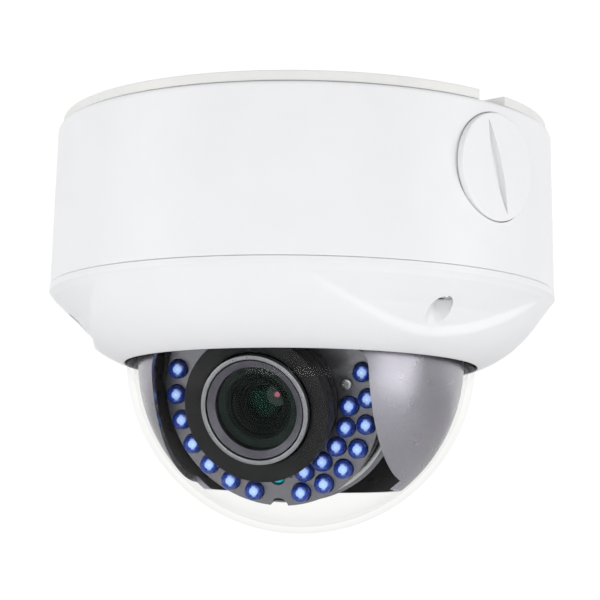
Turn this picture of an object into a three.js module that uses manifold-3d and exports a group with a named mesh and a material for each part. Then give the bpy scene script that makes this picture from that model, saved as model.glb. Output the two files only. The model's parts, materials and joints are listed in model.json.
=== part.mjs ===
// Vandal-resistant dome camera for a ceiling, with a three-axis gimbal behind a clear dome.
// Millimetres, +Z up. The origin is the centre of the ceiling face of the mounting plate,
// and the dome hangs towards -Z. The lens looks towards -Y, a little to the left and down.
import * as THREE from 'three';
import { mergeVertices } from 'three/addons/utils/BufferGeometryUtils.js';
import Module from 'manifold-3d';

const wasm = await Module();
wasm.setup();

// ---- driving dimensions ----
const GAP = 0.3; // clearance wherever two pieces touch
const SIDES = 32; // facets round the large turned pieces
const MID_SIDES = 22;
const SMALL_SIDES = 10;

const PLATE_T = 2.6; // mounting plate thickness
const PLATE_INSET = 1.35; // the plate's rim stands in from the housing's
const BASE_H = 44; // height of the base housing
const WALL = 2.5; // die-cast wall
const DRAFT = 0.9; // the housing widens by this towards the cover
const DOME_WALL = 1.8;
const GIMBAL_ROOM = 18.2; // from the lens module's side out to the dome's outer face
const DOME_DROP = 18.1; // from the seam down to the dome's centre
const SHOULDER = 22; // width of the cover from the dome out to its rim
const COVER_RIM = 1.5; // straight height of the cover's rim
const SCOOP_DEPTH = 1.7; // depth of the cover's scoops over the screws
const SCOOP_ANGLE = 34; // half width of a scoop, degrees

const SCREW_AZIMUTH = 34.7; // first cover screw; the others follow at 120 degree steps
const SCREW_INSET = 9.3; // cover screw axis in from the cover's rim
const SCREW_D = 4;
const HEAD_D = 6.4;
const RECESS_D = 7;

const CONDUIT_AZIMUTH = 45.3;
const CONDUIT_EDGE = 5.85; // from the ceiling face down to the plug's rim
const PLUG_D = 28;
const PLUG_SHOULDER = 1.7; // the plug's flange stands out from its thread
const PLUG_SLOT_END = 1.5; // from the slot's tips to the plug's rim
const PLUG_SLOT_W = 3.4;
const PLUG_SLOT_TILT = 17.7;

const NOTCH_AZIMUTH = 45.9;
const NOTCH_W = 10.3;
const CABLE_D = 16; // cable hole through the plate and the housing
const CABLE_Y = 26;

const PAN = -20; // the lens at rest: degrees to the left
const TILT = 20; // degrees down
const ROLL = 2.1; // degrees clockwise
const TILT_DROP = 4.3; // tilt axis below the dome's centre

const LINER_WALL = 1.3;
const LINER_GAP = 1.3; // liner to dome
const SLOT_GAP = 0.5; // liner's slot to the module's side
const LINER_CUT = 35; // liner's lower edge below its own centre

const MODULE_BACK = -10; // along the lens axis from the tilt axis
const MODULE_FRONT = 22.5;
const PLATE_FACE = 24; // front plate's face along the lens axis
const COLLAR_R = 19.85;
const COLLAR_FACE = 36.3;
const RING_R = 14.75;
const RING_FACE = 37.4;
const GLASS_R = 10.85;
const BARREL_R = 12.6;
const FRAME_T = 2.7; // tilt ring frame out from the module

const LED_D = 5;
const LED_TIP = 27.5;
const ROW_GAP = 0.1; // between the two rows of lamps, across
const COLLAR_LAP = 0.55; // the collar's front edge over the inner row
const LAMP_RIM = 0.4; // outer row to the module's side
const INNER_SPACE = 1.03; // between neighbours in the inner row
const OUTER_SPACE = 2.143;

// ---- places worked out from them ----
const INNER_ROW = lampRow(COLLAR_R + LED_D / 2 - COLLAR_LAP, INNER_SPACE, 21.6, 5);
const OUTER_ROW = lampRow(INNER_ROW.r + LED_D + ROW_GAP, OUTER_SPACE, 14.3, 7);
const MODULE_R = OUTER_ROW.r + LED_D / 2 + LAMP_RIM; // lens module housing
const FRAME_R = MODULE_R + FRAME_T;
const SLOT_HALF = MODULE_R + SLOT_GAP;
const DOME_R = MODULE_R + GIMBAL_ROOM; // outer radius of the clear dome
const PLUG_THREAD_D = PLUG_D - 2 * PLUG_SHOULDER;
const PLUG_SLOT_L = PLUG_D - 2 * PLUG_SLOT_END;
const CONDUIT_DROP = CONDUIT_EDGE + PLUG_D / 2; // below the ceiling face
const COVER_R = DOME_R + SHOULDER;
const BASE_R = COVER_R - 0.6;
const BASE_TOP_R = BASE_R - DRAFT;
const PLATE_R = BASE_TOP_R - PLATE_INSET;
const Z_BASE = -PLATE_T - GAP;
const Z_FLOOR = Z_BASE - 3;
const Z_SEAM = -PLATE_T - BASE_H;
const Z_COVER = Z_SEAM - GAP;
const Z_DOME = Z_SEAM - DOME_DROP;
const Z_TILT = Z_DOME - TILT_DROP;
const DOME_IN = DOME_R - DOME_WALL;
const SCREW_RAD = COVER_R - SCREW_INSET;
const LINER_R = DOME_IN - LINER_GAP;
const LINER_IN = LINER_R - LINER_WALL;

function lampRow(r, space, first, pairs) {
  // Lamps in pairs each side of the lens; the angles are degrees from its lower side.
  const step = 2 * THREE.MathUtils.radToDeg(Math.asin((LED_D + space) / (2 * r)));
  return { r, first, step, pairs };
}

// ---- looks ----
const LOOK = {
  white: ['#f3f4f6', 0.42, 0.0],
  steel: ['#b9bcc0', 0.35, 1.0],
  rubber: ['#1a1a1b', 0.8, 0.0],
  board: ['#1f5a35', 0.55, 0.0],
  terminal: ['#2d6a3c', 0.5, 0.0],
  clear: ['#eef2f4', 0.03, 0.0],
  black: ['#1c1c1e', 0.6, 0.0],
  liner: ['#4b4a4f', 0.4, 0.4],
  satin: ['#515055', 0.42, 0.5],
  collar: ['#262628', 0.75, 0.0],
  ring: ['#8d8f93', 0.35, 0.8],
  glass: ['#0c1512', 0.04, 0.0],
  led: ['#3a62e0', 0.08, 0.0],
  sensor: ['#18a0b8', 0.1, 0.0],
};

const assembly = new THREE.Group();
const rad = THREE.MathUtils.degToRad;

// ---- solids ----
function closed(geometry) {
  // One closed body from a three.js geometry, with its faces pointing out.
  const bare = geometry.clone();
  bare.deleteAttribute('normal');
  bare.deleteAttribute('uv');
  const merged = mergeVertices(bare, 1e-4);
  const vertProperties = new Float32Array(merged.attributes.position.array);
  const corner = (i) => new THREE.Vector3().fromArray(vertProperties, 3 * i);
  const index = merged.index.array;
  const kept = [];
  let volume = 0;
  for (let i = 0; i < index.length; i += 3) {
    const [a, b, c] = [index[i], index[i + 1], index[i + 2]];
    if (a === b || b === c || c === a) continue;
    kept.push(a, b, c);
    volume += corner(a).dot(corner(b).cross(corner(c)));
  }
  if (volume < 0) kept.reverse();
  return new wasm.Manifold(new wasm.Mesh({ numProp: 3, vertProperties, triVerts: new Uint32Array(kept) }));
}

function turned(points, sides = SIDES) {
  // A profile of [radius, z] turned about Z; it starts and ends on the axis or closes on itself.
  const profile = points.map(([r, z]) => new THREE.Vector2(r, z));
  if (points[0][0] > 0) profile.push(profile[0].clone());
  const geometry = new THREE.LatheGeometry(profile, sides);
  geometry.rotateX(Math.PI / 2);
  return closed(geometry);
}

function ring(inner, outer, low, high, sides = SIDES) {
  return turned([[inner, low], [outer, low], [outer, high], [inner, high]], sides);
}

function disc(radius, low, high, sides = SMALL_SIDES) {
  return turned([[0, low], [radius, low], [radius, high], [0, high]], sides);
}

function box(x, y, z, at = [0, 0, 0]) {
  const geometry = new THREE.BoxGeometry(x, y, z);
  geometry.translate(...at);
  return closed(geometry);
}

function placed(solid, matrix) {
  return solid.transform(Array.from(matrix.elements));
}

function moved(solid, x, y, z) {
  return placed(solid, new THREE.Matrix4().makeTranslation(x, y, z));
}

function toAzimuth(solid, degrees) {
  // Turns what was made on the -Y side to an azimuth, counted towards +X.
  return placed(solid, new THREE.Matrix4().makeRotationZ(rad(degrees)));
}

function copies(solid, azimuths) {
  const all = azimuths.map((a) => toAzimuth(solid, a));
  return all.reduce((sum, one) => sum.add(one));
}

function add(name, solid, look, frame = new THREE.Matrix4()) {
  // Puts a solid into the assembly as a mesh of its own, in its frame.
  const { vertProperties, triVerts } = solid.getMesh();
  const geometry = new THREE.BufferGeometry();
  geometry.setAttribute('position', new THREE.BufferAttribute(new Float32Array(vertProperties), 3));
  geometry.setIndex(new THREE.BufferAttribute(new Uint32Array(triVerts), 1));
  geometry.computeVertexNormals();
  const [color, roughness, metalness] = LOOK[look];
  const mesh = new THREE.Mesh(geometry, new THREE.MeshStandardMaterial({ color, roughness, metalness }));
  mesh.name = name;
  mesh.applyMatrix4(frame);
  assembly.add(mesh);
}

function arc(r, z, radius, from, to, steps) {
  // Points on an arc in the profile plane; angles in degrees from +R towards +Z.
  return Array.from({ length: steps + 1 }, (_, i) => {
    const a = rad(from + ((to - from) * i) / steps);
    return [r + radius * Math.cos(a), z + radius * Math.sin(a)];
  });
}

// ---- mounting plate and base housing ----
const TABS = [50, 170, 290]; // azimuths of the bayonet tabs between plate and housing
const TAB_RAD = 40;
const TAB_W = 10;
const TAB_T = 2;
const TAB_FOOT = 6;
const TAB_TURN = 17; // the housing turns by this onto the tabs
const KEYHOLES = [20, 110, 230, 320];
const KEY_IN = 43; // inner and outer end of a keyhole, from the axis
const KEY_OUT = 52;
const GROMMET_R = CABLE_D / 2 + 2.5;

const POSTS = [0, 1, 2].map((i) => SCREW_AZIMUTH + 120 * i);
const POST_R = 5;
const POST_H = 11.5;
const RIM_W = 4.4; // the housing's wall is thicker at the seam
const RIM_H = 5;
const SEAL_IN = BASE_R - 3.1;
const SEAL_OUT = BASE_R - 1.5;
const SEAL_H = 1.9;

const LEGS = POSTS.map((a) => a + 60);
const LEG_R = 3.6;
const PAN_TUBE_R = LINER_IN - GAP;
const PAN_FLANGE_R = DOME_R + 0.5;
const LEG_RAD = PAN_FLANGE_R + LEG_R + 0.9;
const SOCKET_WALL = 1.8;
const SOCKET_DEPTH = 10;

const BOARD_R = 46;
const BOARD_T = 1.6;
const BOARD_DROP = 6; // below the floor
const BOARD_PINS = [20, 140, 260];
const BOARD_PIN_RAD = 38;
const BOARD_PIN_R = 1.2;
const Z_BOARD = Z_FLOOR - BOARD_DROP;

function slotAlongY(radius, low, high) {
  const end = disc(radius, low, high);
  const ends = moved(end, 0, -KEY_IN, 0).add(moved(end, 0, -KEY_OUT, 0));
  const middle = [0, -(KEY_IN + KEY_OUT) / 2, (low + high) / 2];
  return ends.add(box(2 * radius, KEY_OUT - KEY_IN, high - low, middle));
}

function mountingPlate() {
  let plate = turned([[0, -PLATE_T], [PLATE_R - 0.4, -PLATE_T], [PLATE_R, -PLATE_T + 0.4],
    [PLATE_R, -0.4], [PLATE_R - 0.4, 0], [0, 0]], SIDES);
  const notchDepth = 7;
  const notchMouth = box(NOTCH_W, notchDepth, 3 * PLATE_T, [0, -PLATE_R, 0]);
  const notchEnd = moved(disc(NOTCH_W / 2, -2 * PLATE_T, PLATE_T), 0, -PLATE_R + notchDepth / 2, 0);
  plate = plate.subtract(toAzimuth(notchMouth.add(notchEnd), NOTCH_AZIMUTH));
  plate = plate.subtract(moved(disc(GROMMET_R + 0.5, -2 * PLATE_T, PLATE_T, MID_SIDES), 0, CABLE_Y, 0));
  const keyHead = moved(disc(4.2, -2 * PLATE_T, PLATE_T), 0, -KEY_OUT, 0);
  plate = plate.subtract(copies(keyHead.add(slotAlongY(2.3, -2 * PLATE_T, PLATE_T)), KEYHOLES));
  const legTop = -PLATE_T + 0.5;
  const footTop = Z_FLOOR - GAP;
  const footLow = footTop - TAB_T;
  const leg = box(TAB_W, TAB_T, legTop - footLow, [0, -TAB_RAD, (legTop + footLow) / 2]);
  const foot = box(TAB_W, TAB_FOOT, TAB_T, [0, -TAB_RAD - TAB_FOOT / 2, footTop - TAB_T / 2]);
  return plate.add(copies(leg.add(foot), TABS));
}

function baseHousing() {
  const innerTop = BASE_TOP_R - WALL;
  let shell = turned([[0, Z_BASE], [BASE_TOP_R - 1.2, Z_BASE], [BASE_TOP_R - 0.35, Z_BASE - 0.35],
    [BASE_TOP_R, Z_BASE - 1.2], [BASE_R, Z_SEAM + 0.4], [BASE_R - 0.4, Z_SEAM],
    [BASE_R - RIM_W, Z_SEAM], [BASE_R - RIM_W, Z_SEAM + RIM_H],
    [BASE_R - WALL, Z_SEAM + RIM_H + 2], [innerTop, Z_FLOOR], [0, Z_FLOOR]]);
  const post = moved(disc(POST_R, Z_SEAM, Z_SEAM + POST_H), 0, -SCREW_RAD, 0);
  const ribLength = BASE_R - 1 - SCREW_RAD;
  const rib = box(1.4 * POST_R, ribLength, POST_H, [0, -SCREW_RAD - ribLength / 2, Z_SEAM + POST_H / 2]);
  shell = shell.add(copies(post.add(rib), POSTS));
  shell = shell.add(copies(moved(disc(LEG_R + GAP + SOCKET_WALL, Z_FLOOR - SOCKET_DEPTH, Z_FLOOR + 1),
    0, -LEG_RAD, 0), LEGS));
  const pin = disc(BOARD_PIN_R, Z_BOARD - BOARD_T - 1, Z_FLOOR, 12);
  const standoff = pin.add(disc(3, Z_BOARD + GAP, Z_FLOOR + 1));
  shell = shell.add(copies(moved(standoff, 0, -BOARD_PIN_RAD, 0), BOARD_PINS));
  shell = shell.add(placed(conduitBoss(), conduitFrame));
  const threadDepth = 10;
  const threads = moved(disc(SCREW_D / 2 + GAP, Z_SEAM - 1, Z_SEAM + threadDepth), 0, -SCREW_RAD, 0);
  shell = shell.subtract(copies(threads, POSTS));
  shell = shell.subtract(ring(SEAL_IN - GAP, SEAL_OUT + GAP, Z_SEAM - 1, Z_SEAM + SEAL_H + GAP - 0.2));
  const socket = moved(disc(LEG_R + GAP, Z_FLOOR - SOCKET_DEPTH - 1, Z_FLOOR), 0, -LEG_RAD, 0);
  shell = shell.subtract(copies(socket, LEGS));
  shell = shell.subtract(placed(conduitBore(), conduitFrame));
  shell = shell.subtract(moved(disc(CABLE_D / 2, Z_FLOOR - 1, 0, MID_SIDES), 0, CABLE_Y, 0));
  const headRelief = slotAlongY(5, Z_BASE - 2.2, Z_BASE + 1);
  shell = shell.subtract(copies(headRelief, KEYHOLES));
  const slotH = 12;
  const window = box(TAB_W + 2 * GAP, TAB_FOOT + TAB_T + 2 * GAP, slotH, [0, -TAB_RAD - TAB_FOOT / 2, Z_FLOOR]);
  const narrow = ring(TAB_RAD - TAB_T / 2 - 1.2, TAB_RAD + TAB_T / 2 + 0.8, Z_FLOOR - 1, 0);
  const halfTab = THREE.MathUtils.radToDeg(Math.asin((TAB_W / 2 + 1) / TAB_RAD));
  const sector = wedge(-halfTab, TAB_TURN, TAB_RAD + 20, Z_FLOOR - 1, 0);
  const track = toAzimuth(window, TAB_TURN).add(narrow.intersect(sector));
  return shell.subtract(copies(track, TABS));
}

function wedge(from, to, radius, low, high) {
  // A sector about Z between two azimuths.
  const steps = 8;
  const shape = new THREE.Shape([new THREE.Vector2(0, 0)].concat(
    Array.from({ length: steps + 1 }, (_, i) => {
      const a = rad(from + ((to - from) * i) / steps);
      return new THREE.Vector2(radius * Math.sin(a), -radius * Math.cos(a));
    })));
  const geometry = new THREE.ExtrudeGeometry(shape, { depth: high - low, bevelEnabled: false });
  geometry.translate(0, 0, low);
  return closed(geometry);
}

function coverSeal() {
  return ring(SEAL_IN, SEAL_OUT, Z_SEAM - GAP + 0.1, Z_SEAM + SEAL_H - GAP - 0.2);
}

function cableGland() {
  const hole = 3.2;
  const neck = CABLE_D / 2 - GAP;
  const gland = turned([[hole, Z_FLOOR - GAP - 2], [GROMMET_R, Z_FLOOR - GAP - 2], [GROMMET_R, Z_FLOOR - GAP],
    [neck, Z_FLOOR - GAP], [neck, -PLATE_T], [GROMMET_R, -PLATE_T], [GROMMET_R, -0.8], [hole, -0.8]], MID_SIDES);
  return moved(gland, 0, CABLE_Y, 0);
}

function mainBoard() {
  const board = disc(BOARD_R, Z_BOARD - BOARD_T, Z_BOARD, SIDES);
  const hole = moved(disc(BOARD_PIN_R + GAP, Z_BOARD - 9, Z_BOARD + 1, 12), 0, -BOARD_PIN_RAD, 0);
  return board.subtract(copies(hole, BOARD_PINS));
}

function boardTerminal() {
  const top = Z_BOARD - BOARD_T - GAP;
  let block = box(26, 9, 9, [0, 24, top - 4.5]);
  for (const x of [-9, -3, 3, 9]) {
    block = block.subtract(box(4, 5, 5, [x, 29, top - 4]));
  }
  return block;
}

// ---- conduit entry: made along +Z as the outward direction, then laid over ----
const PLUG_FACE = BASE_R + 0.2;
const PLUG_FLANGE_T = 2;
const PLUG_STUB = 9;
const conduitFrame = new THREE.Matrix4().makeRotationZ(rad(CONDUIT_AZIMUTH))
  .multiply(new THREE.Matrix4().makeTranslation(0, 0, -CONDUIT_DROP))
  .multiply(new THREE.Matrix4().makeRotationX(rad(90)));

function conduitBoss() {
  return disc(PLUG_THREAD_D / 2 + GAP + 2.6, PLUG_FACE - 3 - PLUG_STUB, BASE_TOP_R - 1.5, MID_SIDES);
}

function conduitBore() {
  const seat = PLUG_FACE - PLUG_FLANGE_T - GAP;
  const bore = disc(PLUG_THREAD_D / 2 + GAP, seat - 20, seat + 10, MID_SIDES);
  return bore.add(disc(PLUG_D / 2 + GAP, seat, seat + 10, MID_SIDES));
}

function conduitPlug() {
  const flange = turned([[0, PLUG_FACE - PLUG_FLANGE_T], [PLUG_D / 2, PLUG_FACE - PLUG_FLANGE_T],
    [PLUG_D / 2, PLUG_FACE - 0.4], [PLUG_D / 2 - 0.4, PLUG_FACE], [0, PLUG_FACE]], MID_SIDES);
  const groove = 1.4;
  const stub = turned([[0, PLUG_FACE - PLUG_STUB - PLUG_FLANGE_T],
    [PLUG_THREAD_D / 2, PLUG_FACE - PLUG_STUB - PLUG_FLANGE_T],
    [PLUG_THREAD_D / 2, PLUG_FACE - 5.4], [PLUG_THREAD_D / 2 - groove, PLUG_FACE - 5.4],
    [PLUG_THREAD_D / 2 - groove, PLUG_FACE - 3.4], [PLUG_THREAD_D / 2, PLUG_FACE - 3.4],
    [PLUG_THREAD_D / 2, PLUG_FACE - 1], [0, PLUG_FACE - 1]], MID_SIDES);
  const tip = PLUG_SLOT_L / 2;
  const shape = new THREE.Shape();
  shape.moveTo(0, -tip);
  shape.quadraticCurveTo(PLUG_SLOT_W, 0, 0, tip);
  shape.quadraticCurveTo(-PLUG_SLOT_W, 0, 0, -tip);
  const cut = new THREE.ExtrudeGeometry(shape, { depth: 5, bevelEnabled: false, curveSegments: 8 });
  cut.translate(0, 0, PLUG_FACE - 1.5);
  cut.rotateZ(rad(PLUG_SLOT_TILT));
  return flange.add(stub).subtract(closed(cut));
}

function plugRing() {
  return ring(PLUG_THREAD_D / 2 - 1.1, PLUG_THREAD_D / 2, PLUG_FACE - 5.1, PLUG_FACE - 3.7, MID_SIDES);
}

// ---- cover, clear dome and what clamps it ----
const RIM_TOP = Z_COVER - 0.3;
const RIM_LOW = Z_COVER - COVER_RIM;
const LIP_R = DOME_R + 0.67;
const Z_LIP = Z_DOME - 2.4;
const Z_LEDGE = Z_LIP + 4.7;
const LEDGE_R = DOME_R + 6.8;
const FLANGE_R = DOME_R + 6.5;
const COVER_WALL = 3.4;
const GASKET_T = 0.8;
const FLANGE_T = 1.7;
const Z_GASKET = Z_LEDGE + GAP;
const Z_FLANGE = Z_GASKET + GASKET_T + GAP;
const Z_RETAINER = Z_FLANGE + FLANGE_T + GAP;
const SCOOP_LOW = Z_LIP + 4.6; // lowest point of a scoop's edge
const SCOOP_HIGH = RIM_LOW - 1.6; // where a scoop fades out
const BOSS_R = 6;
const HEAD_SEAT = Z_COVER - 3.5;

const shoulder = new THREE.CubicBezierCurve(
  new THREE.Vector2(COVER_R, RIM_LOW),
  new THREE.Vector2(COVER_R - 0.177 * (COVER_R - LIP_R), RIM_LOW - 0.213 * (RIM_LOW - Z_LIP)),
  new THREE.Vector2(LIP_R + 0.62 * (COVER_R - LIP_R), Z_LIP + 0.235 * (RIM_LOW - Z_LIP)),
  new THREE.Vector2(LIP_R, Z_LIP));

function shoulderAt(t, inset = 0) {
  // A point of the shoulder, moved in by the inset.
  const point = shoulder.getPoint(t);
  const along = shoulder.getTangent(t);
  return [point.x + along.y * inset, point.y - along.x * inset];
}

function shoulderRadius(z) {
  let [low, high] = [0, 1];
  for (let i = 0; i < 30; i += 1) {
    const middle = (low + high) / 2;
    if (shoulder.getPoint(middle).y > z) low = middle;
    else high = middle;
  }
  return shoulder.getPoint(low).x;
}

function steps(count, from = 0, to = 1) {
  return Array.from({ length: count + 1 }, (_, i) => from + ((to - from) * i) / count);
}

function coverBlank() {
  return turned([[LIP_R - 0.5, Z_COVER], [COVER_R - 0.4, Z_COVER], [COVER_R, RIM_TOP],
    ...steps(7).map((t) => shoulderAt(t)), [LIP_R - 0.5, Z_LIP + 0.5]]);
}

function coverCavity() {
  const wall = steps(8, 0.05, 0.95).map((t) => shoulderAt(t, COVER_WALL))
    .filter(([r, z]) => r < COVER_R - RIM_W && r > LEDGE_R && z > Z_LEDGE + 0.5);
  return turned([[LIP_R - 2, Z_COVER + 1], [COVER_R - RIM_W, Z_COVER + 1],
    [COVER_R - RIM_W, wall[0][1] + 0.5], ...wall, [LEDGE_R, wall[wall.length - 1][1] - 0.3],
    [LEDGE_R, Z_LEDGE], [LIP_R - 2, Z_LEDGE]]);
}

function scoop() {
  // The region between the shoulder and its deeper copy, inside a U-shaped outline.
  const fade = (z) => THREE.MathUtils.clamp((SCOOP_HIGH - z) / 7, -0.1, 1);
  const times = steps(7, 0.02, 0.98);
  const inner = times.map((t) => shoulderAt(t, SCOOP_DEPTH * fade(shoulder.getPoint(t).y)));
  const outer = times.map((t) => shoulderAt(t, -4)).reverse();
  const band = turned([...inner, ...outer]);
  const outline = steps(8, -1, 1).map((side) => {
    const z = SCOOP_LOW + (SCOOP_HIGH - SCOOP_LOW) * side * side;
    return new THREE.Vector2(shoulderRadius(z) * Math.sin(rad(SCOOP_ANGLE * side)), z);
  });
  const half = outline[0].x;
  outline.push(new THREE.Vector2(-half, RIM_TOP), new THREE.Vector2(half, RIM_TOP));
  const geometry = new THREE.ExtrudeGeometry(new THREE.Shape(outline),
    { depth: COVER_R, bevelEnabled: false });
  geometry.rotateX(Math.PI / 2);
  geometry.translate(0, -COVER_R / 3, 0);
  return band.intersect(closed(geometry));
}

function frontCover() {
  const scoops = copies(scoop(), POSTS);
  const outer = coverBlank().subtract(scoops);
  const boss = moved(disc(BOSS_R, HEAD_SEAT - 9, Z_COVER), 0, -SCREW_RAD, 0);
  const bosses = copies(boss, POSTS).intersect(outer);
  const shaft = disc(SCREW_D / 2 + GAP, HEAD_SEAT - 1, Z_COVER + 1);
  const recess = disc(RECESS_D / 2, HEAD_SEAT - 30, HEAD_SEAT, SMALL_SIDES);
  const holes = copies(moved(shaft.add(recess), 0, -SCREW_RAD, 0), POSTS);
  const opening = ring(1, LIP_R, Z_LIP - 1, Z_LEDGE + 1).add(disc(2, Z_LIP - 1, Z_LEDGE + 1));
  return outer.subtract(coverCavity()).subtract(opening).add(bosses).subtract(holes);
}

function clearDome() {
  const neckTop = Z_FLANGE + FLANGE_T;
  return turned([...arc(0, Z_DOME, DOME_R, -90, 0, 8), [DOME_R, Z_FLANGE], [FLANGE_R, Z_FLANGE],
    [FLANGE_R, neckTop], [DOME_IN, neckTop], ...arc(0, Z_DOME, DOME_IN, 0, -90, 8)]);
}

function domeGasket() {
  return ring(DOME_R + GAP, FLANGE_R, Z_GASKET, Z_GASKET + GASKET_T);
}

function domeRetainer() {
  return ring(DOME_IN + 1.3, FLANGE_R, Z_RETAINER, Z_RETAINER + 1.6);
}

function coverScrew() {
  const headTop = HEAD_SEAT - GAP;
  const headLow = headTop - 3.4;
  const head = turned([[0, headLow], [HEAD_D / 2 - 0.5, headLow], [HEAD_D / 2, headLow + 0.5],
    [HEAD_D / 2, headTop], [0, headTop]], SMALL_SIDES);
  const shaft = disc(SCREW_D / 2, headTop - 0.5, Z_SEAM + 8.5, SMALL_SIDES);
  const socket = disc(1.6, headLow - 1, headLow + 2, 6);
  return head.add(shaft).subtract(socket);
}

// ---- gimbal: base ring, pan ring, yoke arms, liner; X is the tilt axis in the pan frame ----
const GIMBAL_T = 2;
const Z_GIMBAL = Z_SEAM - 1.4; // upper face of the gimbal base
const Z_PAN_FLANGE = Z_GIMBAL + GAP;
const PAN_FLANGE_T = 1.7;
const PAN_TUBE_WALL = 1.7;
const Z_PAN_LOW = Z_SEAM - 10.4;
const ARM_X = FRAME_R + 3.5; // inner face of a yoke arm
const ARM_T = 2;
const ARM_W = 14;
const PIVOT_R = 1.5;
const Z_LINER = Z_DOME - 0.9;
const Z_LINER_TOP = Z_SEAM - 5.4;
const SLOT_TOP = Z_LIP + 4;
const SLOT_CORNER = 8;

const panFrame = new THREE.Matrix4().makeRotationZ(rad(PAN));
const tiltFrame = panFrame.clone()
  .multiply(new THREE.Matrix4().makeTranslation(0, 0, Z_TILT))
  .multiply(new THREE.Matrix4().makeRotationX(rad(TILT)));
// In a lens frame +Z is the lens axis outwards, +Y is up and X stays the tilt axis.
const layDown = new THREE.Matrix4().makeRotationX(rad(90));
const frameFrame = tiltFrame.clone().multiply(layDown);
const lensFrame = tiltFrame.clone().multiply(new THREE.Matrix4().makeRotationY(rad(ROLL))).multiply(layDown);

function gimbalBase() {
  const outer = SCREW_RAD - BOSS_R - 0.5;
  const flat = ring(PAN_TUBE_R + 1.7, outer, Z_GIMBAL - GIMBAL_T, Z_GIMBAL);
  const leg = disc(LEG_R, Z_GIMBAL - GIMBAL_T, Z_FLOOR - GAP);
  return flat.add(copies(moved(leg, 0, -LEG_RAD, 0), LEGS));
}

function panRing() {
  const inner = PAN_TUBE_R - PAN_TUBE_WALL;
  const top = Z_PAN_FLANGE + PAN_FLANGE_T;
  return turned([[inner, Z_PAN_LOW], [PAN_TUBE_R, Z_PAN_LOW], [PAN_TUBE_R, Z_PAN_FLANGE],
    [PAN_FLANGE_R, Z_PAN_FLANGE], [PAN_FLANGE_R, top], [inner, top]]);
}

function alongX(solid, side) {
  // Lays a solid made about Z along the tilt axis, towards +X or -X.
  return placed(solid, new THREE.Matrix4().makeRotationY(rad(90 * side)));
}

function yokeArm(side) {
  const footLow = Z_PAN_FLANGE + PAN_FLANGE_T + GAP;
  const footTop = footLow + ARM_T;
  const middle = side * (ARM_X + ARM_T / 2);
  const blade = box(ARM_T, ARM_W, footTop - Z_TILT, [middle, 0, (footTop + Z_TILT) / 2]);
  const eye = moved(alongX(disc(ARM_W / 2, ARM_X, ARM_X + ARM_T, SMALL_SIDES), side), 0, 0, Z_TILT);
  const reach = PAN_FLANGE_R - 1.5 - ARM_X;
  const foot = box(reach, ARM_W, ARM_T, [side * (ARM_X + reach / 2), 0, footLow + ARM_T / 2]);
  const hole = moved(alongX(disc(PIVOT_R + GAP, ARM_X - 1, ARM_X + ARM_T + 1, SMALL_SIDES), side), 0, 0, Z_TILT);
  return blade.add(eye).add(foot).subtract(hole);
}

function liner() {
  const lowAngle = (radius) => -THREE.MathUtils.radToDeg(Math.asin(LINER_CUT / radius));
  const skin = turned([...arc(0, Z_LINER, LINER_R, lowAngle(LINER_R), 0, 6), [LINER_R, Z_LINER_TOP],
    [LINER_IN, Z_LINER_TOP], ...arc(0, Z_LINER, LINER_IN, 0, lowAngle(LINER_IN), 6)]);
  const shape = new THREE.Shape();
  shape.moveTo(-SLOT_HALF, Z_LINER - DOME_R);
  shape.lineTo(SLOT_HALF, Z_LINER - DOME_R);
  shape.lineTo(SLOT_HALF, SLOT_TOP - SLOT_CORNER);
  shape.absarc(SLOT_HALF - SLOT_CORNER, SLOT_TOP - SLOT_CORNER, SLOT_CORNER, 0, Math.PI / 2);
  shape.absarc(-SLOT_HALF + SLOT_CORNER, SLOT_TOP - SLOT_CORNER, SLOT_CORNER, Math.PI / 2, Math.PI);
  const cut = new THREE.ExtrudeGeometry(shape, { depth: DOME_R + 5, bevelEnabled: false, curveSegments: 6 });
  cut.rotateX(Math.PI / 2);
  return skin.subtract(closed(cut));
}

// ---- tilt ring and the lens module; +Z is the lens axis, counted from the tilt axis ----
const FRAME_LOW = 9;
const FRAME_HIGH = 13;
const SHOULDER_LOW = FRAME_LOW - GAP - 2.2;
const SHOULDER_R = FRAME_R - 0.9;
const HOUSING_WALL = 1.8;
const HOUSING_FRONT = MODULE_FRONT - 3.8;
const LED_BOARD_LOW = HOUSING_FRONT + GAP;
const LED_BOARD_T = 1.6;
const FACE_T = 1.5;
const FACE_R = MODULE_R + 0.4;
const FACE_BORE = COLLAR_R - 3.3;
const LED_BASE = LED_BOARD_LOW + LED_BOARD_T + GAP;
const SENSOR_RAD = INNER_ROW.r + 0.2;
const SENSOR_R = 2.1;

function tiltRing() {
  const outer = FRAME_R + 2.1;
  const hoop = ring(MODULE_R + GAP, FRAME_R, FRAME_LOW, FRAME_HIGH);
  const earLow = SHOULDER_R + GAP;
  const ear = (side) => {
    const middle = side * (earLow + outer) / 2;
    const strap = box(outer - earLow, 9, FRAME_HIGH, [middle, 0, FRAME_HIGH / 2]);
    const eye = alongX(disc(4.5, earLow, outer), side);
    const boss = alongX(disc(3.4, outer - 0.5, ARM_X - GAP), side);
    return strap.add(eye).add(boss).subtract(alongX(disc(PIVOT_R + GAP, 0, 60, SMALL_SIDES), side));
  };
  return hoop.add(ear(1)).add(ear(-1));
}

function tiltPivot(side) {
  const headLow = ARM_X + ARM_T + GAP;
  const shaft = disc(PIVOT_R, SHOULDER_R + GAP + 0.3, headLow + 0.5, SMALL_SIDES);
  const head = disc(3.2, headLow, headLow + 1.9, SMALL_SIDES);
  const socket = disc(1.3, headLow + 0.8, headLow + 3, 6);
  return alongX(shaft.add(head).subtract(socket), side);
}

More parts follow.
